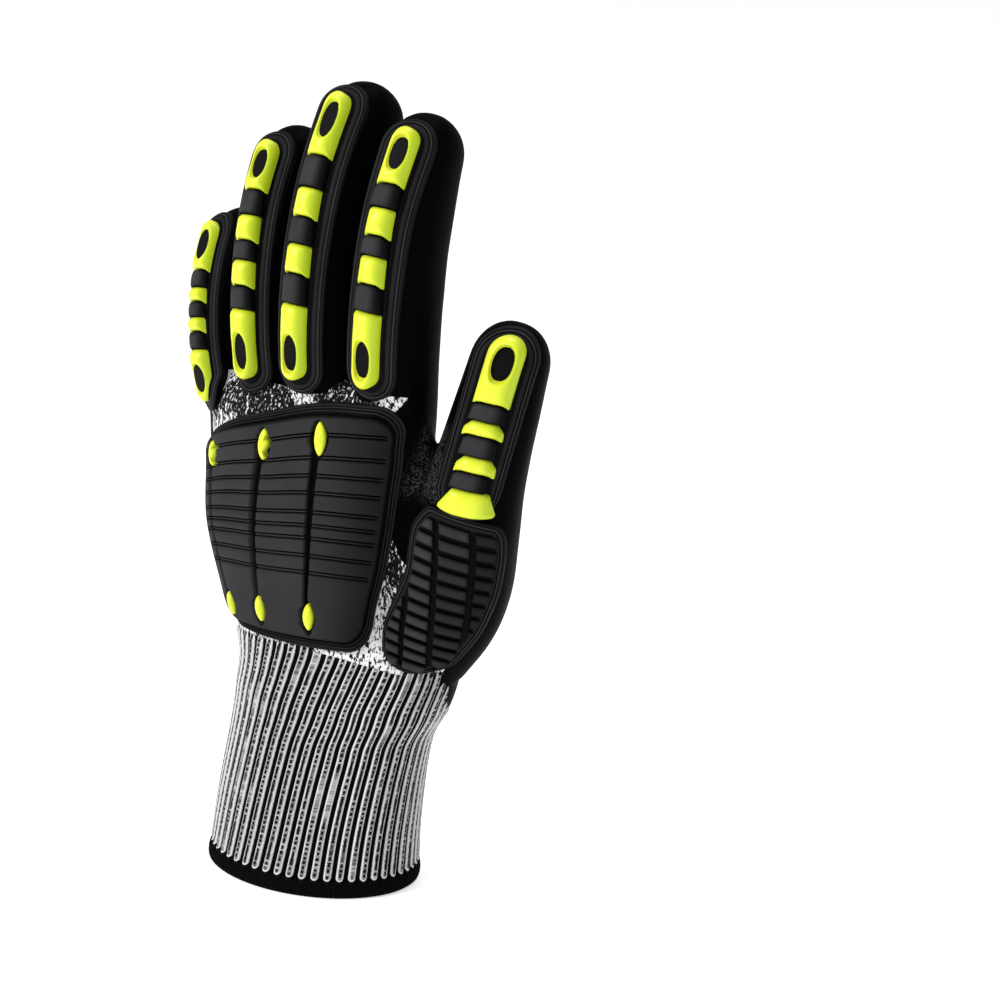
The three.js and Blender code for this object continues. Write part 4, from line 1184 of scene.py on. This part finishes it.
make_pad()
for end, level in enumerate(("bottom", "top")):
    for index, side in enumerate(("little", "middle", "index")):
        make_lens(index, end, f"{side}_{level}")


# The hand's skin: its tubes are joined and smoothed, then parted into coating and knit along the dip line

SKIN_VOXEL, QUICK_VOXEL, LINING_VOXEL = 1.15, 2.0, 2.4
COATING_LIFT, COATING_RIM = 0.3, 0.8
KNIT_LIFT, KNIT_RIM, KNIT_OVERLAP = 0.1, 0.5, 2.0
SWELL = 0.25
ROUGH_EDGE = 0.6
LINING_BOTTOM = 44
TIP_SHARES = np.array([0.9, 0.8, 0.7, 0.6, 0.5, 0.4, 0.3, 0.2, 0.12, 0.06, 0.02])


def tube(sections, first):
    """Points and faces of a closed tube through rings of points, numbered from first."""
    build = Build()
    build.count = first
    build.grid(sections, around=True)
    count, sides = sections.shape[:2]
    top, ends = first + (count - 1) * sides, first + count * sides
    low = [[first + (k + 1) % sides, ends, first + k] for k in range(sides)]
    high = [[top + k, ends + 1, top + (k + 1) % sides] for k in range(sides)]
    points = np.concatenate([sections.reshape(-1, 3), [sections[0].mean(0), sections[-1].mean(0)]])
    return points, build.faces + low + high


def hand_skin(name, lift, voxel, rounds):
    """The united skin of the hand as (points in mm, triangles, normals)."""
    heights = np.concatenate([np.arange(40, 166, 3.0), [167 + min(lift, 0)]])
    forms = [arm_point(heights[:, None], full_turn(96)[None], lift)]
    for digit in digits.values():
        dome, end = digit.half3 + lift, digit.length + lift
        along = np.concatenate([np.linspace(digit.start, end - dome, 40), end - dome * TIP_SHARES])
        forms.append(digit.at(along[:, None], full_turn(40)[None], lift))
    points, faces = np.empty((0, 3)), []
    for form in forms:
        some, more = tube(form, len(points))
        points, faces = np.concatenate([points, some]), faces + more
    mesh = bpy.data.meshes.new(name)
    mesh.from_pydata((points / 1000).tolist(), [], faces)
    made = add_object(name, mesh)
    remesh = made.modifiers.new("union", "REMESH")
    remesh.mode, remesh.voxel_size = "VOXEL", voxel / 1000
    smooth = made.modifiers.new("smooth", "SMOOTH")
    smooth.factor, smooth.iterations = 0.5, rounds
    bpy.context.view_layer.update()
    done = made.evaluated_get(bpy.context.evaluated_depsgraph_get()).to_mesh()
    done.calc_loop_triangles()
    read = []
    for items, key, kind in (
        (done.vertices, "co", float), (done.loop_triangles, "vertices", int), (done.vertices, "normal", float)
    ):
        values = np.empty(len(items) * 3, kind)
        items.foreach_get(key, values)
        read.append(values.reshape(-1, 3))
    bpy.data.objects.remove(made)
    places, triangles, normals = read
    return places * 1000, triangles, normals


def cut(points, triangles, level):
    """Keeps what has a level above 0, cut clean where it is 0. Returns faces, crossings and edge pairs."""
    inside = level > 0
    count = inside[triangles].sum(1)
    kept = triangles[count == 3].tolist()
    extra, made, edges = [], {}, []

    def crossing(a, b):
        key = (min(a, b), max(a, b))
        if key not in made:
            made[key] = len(points) + len(extra)
            extra.append((a, b, level[a] / (level[a] - level[b])))
        return made[key]

    for tri in triangles[(count == 1) | (count == 2)]:
        lone = inside[tri].sum() == 1
        k = int(np.flatnonzero(inside[tri] == lone)[0])
        a, b, c = (int(tri[(k + i) % 3]) for i in range(3))
        ab, ca = crossing(a, b), crossing(c, a)
        kept += [[a, ab, ca]] if lone else [[ab, b, c], [ab, c, ca]]
        edges.append([ab, ca] if lone else [ca, ab])
    return kept, extra, edges


def skin_piece(name, skin, level, lift, rim, look, nodes, uv=None):
    """The part of the skin where level is above 0, lifted, its edge turned in by rim."""
    points, triangles, normals = skin
    kept, extra, edges = cut(points, triangles, level)
    placed = points + normals * lift
    shown = np.zeros((len(points), 2)) if uv is None else uv
    if extra:
        a, b, t = (np.array(v) for v in zip(*extra))
        places, out = (lerp(values[a], values[b], t[:, None]) for values in (points, normals))
        placed = np.concatenate([placed, places + out * lift, places + out * (lift - rim)])
        shown = np.concatenate([shown, (shown[a] + shown[b]) / 2, np.zeros((len(a), 2))])
        kept += [[p, q, q + len(a), p + len(a)] for p, q in edges]
    used = np.unique(np.concatenate(kept))
    index = np.full(len(placed), -1)
    index[used] = np.arange(len(used))
    build = Build()
    build.points, build.uvs = [placed[used]], [shown[used]]
    build.faces = [index[face].tolist() for face in kept]
    build.object(name, look, nodes)


def hand_turn(points):
    row = arm_at(points[:, 2])
    ahead = -(points[:, 1] - row["y"]) / row["deep"]
    return np.degrees(np.arctan2((points[:, 0] - row["x"]) / row["wide"], ahead))


def wobble(points, scale, seed):
    return np.array([noise.noise(Vector(p) / scale + Vector((seed, 0, 0))) for p in points])


def knit_level(points, turn):
    """Above 0 on the uncoated back of the hand, in millimetres from the edge of the coating."""
    side = smooth_row(*columns(DIP_SIDE), points[:, 2])
    level = np.minimum(side - turn, turn - LITTLE_SIDE) * ARC_OF_DEGREE
    webs = sum(rise * np.exp(-(((points[:, 0] - x) / width) ** 2)) for x, width, rise in KNIT_WEBS)
    return np.minimum(level, KNIT_TOP + webs - points[:, 2])


def furrow_top(degrees):
    return smooth_row(*columns(FURROW_TOP), np.clip(degrees, -90, 90))


def thin_patch(z, turn):
    """The spot on the index side where the coating lets the knit show as grey specks."""
    across = (turn - lerp(67, 92, (z - 132) / 24)) / 7
    return np.exp(-(across**2)) * smoothstep(z, 129, 136) * (1 - smoothstep(z, 153, 160))


def make_skin():
    points, triangles, normals = hand_skin("skin", 0.0, SKIN_VOXEL, 6)
    z, turn = points[:, 2], hand_turn(points)
    level = knit_level(points, turn) + wobble(points, 5.0, 3.0) * ROUGH_EDGE
    skin = points + wobble(points, 16.0, 9.0)[:, None] * normals * SWELL, triangles, normals
    uv = np.stack([smoothstep(normals[:, 1], 0.6, 0.95), thin_patch(z, turn)], 1)
    nodes = ["coated_palm"] + ["coated_" + name for name in digits]
    coated = np.minimum(-level, z - dip_edge(np.radians(turn)) + 0.5)
    skin_piece("coating", skin, coated, COATING_LIFT, COATING_RIM, coating, nodes, uv)
    bare = np.minimum(level + KNIT_OVERLAP, z - furrow_top(turn) - 0.4)
    skin_piece("knit_back_cloth", skin, bare, KNIT_LIFT, KNIT_RIM, knit, ["knit_back"])
    inner, faces, out = hand_skin("lining", -WALL, LINING_VOXEL, 3)
    inside = inner, faces[:, ::-1], out
    skin_piece("lining", inside, inner[:, 2] - LINING_BOTTOM, 0.0, 0.0, lining_knit, [])


make_skin()


# The cuff and its hem

CUFF_ROWS = 110
STITCHES = 0.95  # bulges of a rib per millimetre
STITCH_LIFT = 0.05
CUFF_OVERLAP = 2.5
CUFF_UNDER = (0.05, -0.4)  # height past the ribs' ends, on the back and under the coating
CUFF_SIDES, CUFF_LINING_ROWS = 104, 18


def lean(z, turn):
    """The ribs lean to the thumb side towards the wrist."""
    heights, little, thumb = columns(RIB_LEAN)
    share = smoothstep(np.sin(turn), 0.09, 0.64)
    return np.radians(lerp(smooth_row(heights, little, z), smooth_row(heights, thumb, z), share))


def rib_limit(turn):
    """Where the furrows between the ribs end."""
    front = smoothstep(np.cos(turn), -0.05, 0.1)
    return lerp(dip_edge(turn) + 1.5, furrow_top(degrees_of(turn)), front)


def make_cuff():
    build = Build()
    share, lift = columns(RIB_PROFILE)
    phase = np.concatenate([share + k for k in range(RIB_COUNT)])
    turn = phase / RIB_COUNT * TURN
    limit = rib_limit(turn + lean(rib_limit(turn + math.radians(12)), turn))
    z = lerp(BAND_TOP - 1.4, limit + CUFF_OVERLAP, np.linspace(0, 1, CUFF_ROWS)[:, None])
    fade = 1 - smoothstep(z, limit - 1.6, limit + 0.4)
    flat = np.where(np.cos(turn) > 0.3, *CUFF_UNDER)
    height = lerp(flat, np.tile(lift, RIB_COUNT), fade) + STITCH_LIFT * np.sin(z * TURN * STITCHES) * fade
    points = arm_point(z, turn + lean(z, turn), height)
    points, z = (np.concatenate([values, values[:, :1]], axis=1) for values in (points, z))
    closed = np.broadcast_to(np.append(phase, RIB_COUNT), z.shape)
    build.grid(points, uv=np.stack([closed, z], axis=-1))
    inner = np.linspace(1, 52, CUFF_LINING_ROWS)[:, None]
    build.grid(arm_point(inner, full_turn(CUFF_SIDES)[None], -WALL), around=True, flip=True)
    build.object("cuff", cuff_knit, ["knit_cuff"])


def make_hem():
    build = Build()
    last = len(HEM_PROFILE) - 1
    steps, rows = np.linspace(0, last, 4 * last + 1), np.arange(last + 1)
    z, lift = (np.interp(steps, rows, row)[:, None] for row in columns(HEM_PROFILE))
    turn = np.linspace(0, TURN, 481)[None]
    weave = HEM_WEAVE * np.sin(turn * HEM_WRAPS + z * HEM_SLANT) * np.where(lift > 0, 1, 0)
    rise = np.where(z > HEM_WAVE_FROM, HEM_WAVE, 0) * np.sin(turn * RIB_COUNT)
    points = arm_point(z + rise, turn, lift + weave)
    uv = [np.broadcast_to(values, points.shape[:2]) for values in (turn * HEM_WRAPS / TURN, z * 0.2)]
    build.grid(points, uv=np.stack(uv, -1))
    build.object("hem_band", hem_thread, ["hem"])


make_cuff()
make_hem()

bpy.context.view_layer.update()
